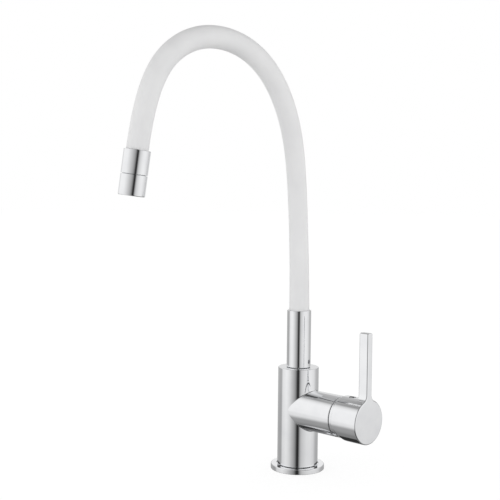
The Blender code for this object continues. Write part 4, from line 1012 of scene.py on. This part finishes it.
def make_tubes(label, prefix, outer, inner, sides, step, material, slot):
    """One tube in as many lengths as there are bends. The last one stands for what is left of the nodes."""
    for number in range(len(BENDS)):
        start, stop = seams[number], seams[number + 1]
        runs = np.linspace(start, stop, int((stop - start) / step) + 2)
        radius = outer(runs) if callable(outer) else outer
        tube = skin_object(f"{label}_{number + 1}", [(tube_skin(runs, radius, inner, sides), True)])
        bend(tube, number)
        names = NAMES[number:] if number == len(BENDS) - 1 else NAMES[number : number + 1]
        dress(tube, material, None, slot, *[prefix + name for name in names])


def sleeve_radius(runs):
    return SLEEVE_R * spline(SLEEVE_RADIUS_SHARES, np.minimum(runs / SPOUT_L, 1.0))


make_tubes("sleeve", "sleeve_", sleeve_radius, SLEEVE_BORE_R, SLEEVE_SIDES, SLEEVE_STEP, silicone,
           "white_silicone")
make_tubes("core", "gooseneck_core_", *CORE_R, CORE_SIDES, INNER_STEP, steel, "steel")
make_tubes("water_tube", "water_hose_", *WATER_HOSE_R, WATER_HOSE_SIDES, INNER_STEP, tubing, "hose_plastic")


# %% [markdown]
# ## Outlet
#
# The outlet is a ferrule and, past a fine groove, the aerator housing. Its own Z points back up the spout
# from the ferrule's rim. Looking up into it one sees a plastic insert with small jets.

# %% Outlet
HEAD_R = 0.0120
HEAD_EDGE = 0.0004
HEAD_FOOT_EDGE = 0.0008
FERRULE_FOOT = -0.0212
HOUSING_TOP = -0.0218
HEAD_FOOT = -0.0404
HEAD_STEP = -0.0130
NECK_BORE_R = 0.0093
NECK_R = 0.0090
JOINT_R = (0.0104, 0.0108)  # a cone in the joint, which throws light back and forth until little is left
JOINT_TOP = -0.0213
JOINT_EDGE = 0.00015
NECK_TUBE_R = 0.0072
CHAMBER_R = 0.0106
CHAMBER_TOP = -0.0280
CHAMBER_EDGE = 0.0002

rim = line[-1]
ahead = np.cross(SPOUT_ASIDE, -END_WAY)
ahead /= np.linalg.norm(ahead)
HEAD = placed(ahead, np.cross(-END_WAY, ahead), -END_WAY, rim)

ferrule = turned_piece("outlet_ferrule", [
    (ENTRY_R, 0.0, ENTRY_EDGE), (HEAD_R, 0.0, HEAD_EDGE), (HEAD_R, FERRULE_FOOT, JOINT_EDGE),
    (NECK_BORE_R, FERRULE_FOOT, 0), (NECK_BORE_R, HEAD_STEP, 0), (ENTRY_R, HEAD_STEP, 0),
], HEAD)
dress(ferrule, chrome, "spout_drop", "chrome", "head_ferrule")
housing = turned_piece("outlet_housing", [
    (NECK_TUBE_R, HEAD_STEP, 0), (NECK_R, HEAD_STEP, 0), (NECK_R, JOINT_TOP, 0), (JOINT_R[0], JOINT_TOP, 0),
    (JOINT_R[1], HOUSING_TOP, 0), (HEAD_R, HOUSING_TOP, JOINT_EDGE), (HEAD_R, HEAD_FOOT, HEAD_FOOT_EDGE),
    (CHAMBER_R, HEAD_FOOT, CHAMBER_EDGE), (CHAMBER_R, CHAMBER_TOP, 0), (NECK_TUBE_R, CHAMBER_TOP, 0),
], HEAD)
dress(housing, chrome, "spout_drop", "chrome", "aerator_housing")

# %% Jet insert
INSERT_R = 0.0103
INSERT_TOP = -0.0301
INSERT_FOOT = -0.0394
INSERT_EDGE = 0.0003
INSERT_SIDES = 96
JET_R = 0.0007
JET_DEPTH = 0.0030
JET_SIDES = 16
JET_RINGS = ((0.0, 1), (0.0028, 6), (0.0055, 12), (0.0081, 18))


def jet_cutter():
    """Short rods in rings, all in one cutter, each a turned skin moved to its place."""
    jet = turned_skin(rounded(rod(JET_R, INSERT_FOOT - OVERRUN, INSERT_FOOT + JET_DEPTH)), sides=JET_SIDES)
    skins = []
    for radius, count in JET_RINGS:
        for angle in np.arange(count) * math.tau / count:
            aside = jet + (radius * math.cos(angle), radius * math.sin(angle), 0.0)
            skins.append((aside @ HEAD[:3, :3].T + HEAD[:3, 3], False))
    return skin_object("cutter", skins)


insert = turned_piece("jet_insert", [
    (0.0, INSERT_TOP, 0), (INSERT_R, INSERT_TOP, 0), (INSERT_R, INSERT_FOOT, INSERT_EDGE),
    (0.0, INSERT_FOOT, 0),
], HEAD, INSERT_SIDES)
cut_away(insert, jet_cutter())
dress(insert, plastic, "spout_drop", "cartridge_plastic", "aerator_insert")


# %% [markdown]
# ## Set screws
#
# The small steel screws lie at the bottom of their holes. Each is turned, with a six-sided socket: in the
# socket's rows the radius follows a hexagon instead of a circle.

# %% Set screws
HEX_SHARE = 0.55
SCREW_CHAMFER = 0.0004
LEVER_SCREW = (0.0022, 0.0038, 0.0082)  # radius, and how far out its tip and its head lie
COLLAR_SCREW = (0.0019, 0.0083)  # radius and tip
COLLAR_SCREW_HEADS = (0.0113, 0.0098)


def screw_skin(radius, tip, head, place):
    """Rows of (radius by angle, height). A hexagon's radius is its apothem over cos of the angle from the
    nearest flat's middle."""
    angles = np.linspace(0.0, math.tau, CUTTER_SIDES, endpoint=False)
    apothem = radius * HEX_SHARE
    hexagon = apothem / np.cos((angles + math.pi / 6) % (math.pi / 3) - math.pi / 6)
    circle = np.ones_like(angles)
    floor = head - (head - tip) / 2
    rows = ((0 * circle, floor), (hexagon, floor), (hexagon, head), (circle * (radius - SCREW_CHAMFER), head),
            (circle * radius, head - SCREW_CHAMFER), (circle * radius, tip), (0 * circle, tip))
    grid = np.stack([np.column_stack((r * np.cos(angles), r * np.sin(angles), z * circle)) for r, z in rows])
    return grid @ place[:3, :3].T + place[:3, 3]


lever_screw = skin_object("lever_set_screw", [
    (screw_skin(*LEVER_SCREW, moved(SCREW_ALONG, 0.0, AXIS_HEIGHT)), False)])
dress(lever_screw, steel, "lever", "steel", "lever_grub_screw")
collar_screws = skin_object("collar_set_screws", [
    (screw_skin(*COLLAR_SCREW, head, pointing(bearing, COLLAR_SCREW_HEIGHT)), False)
    for bearing, head in zip(COLLAR_SCREW_BEARINGS, COLLAR_SCREW_HEADS)])
dress(collar_screws, steel, "spout_base", "steel", "collar_grub_screw")


# %% [markdown]
# ## Pieces inside
#
# The cartridge, the seals and the fittings have the right shape already, so they keep it and only get a
# finish.

# %% Finishes for the inner nodes
INNER = {
    rubber: ("base_seal", "cartridge_port_seal", "spout_o_ring_lower", "spout_o_ring_upper",
             "aerator_washer"),
    plastic: ("cartridge_base", "cartridge_housing", "cartridge_rotor", "disc_carrier"),
    ceramic: ("ceramic_disc_fixed", "ceramic_disc_moving"),
    brass: ("retaining_nut", "spout_nipple", "lower_end_fitting", "upper_end_fitting"),
    steel: ("stem_pin", "lever_stem", "aerator_screen"),
}
for material, names in INNER.items():
    for name in names:
        nodes[name].data.materials.clear()
        nodes[name].data.materials.append(material)
print("inner nodes finished:", sum(len(names) for names in INNER.values()))
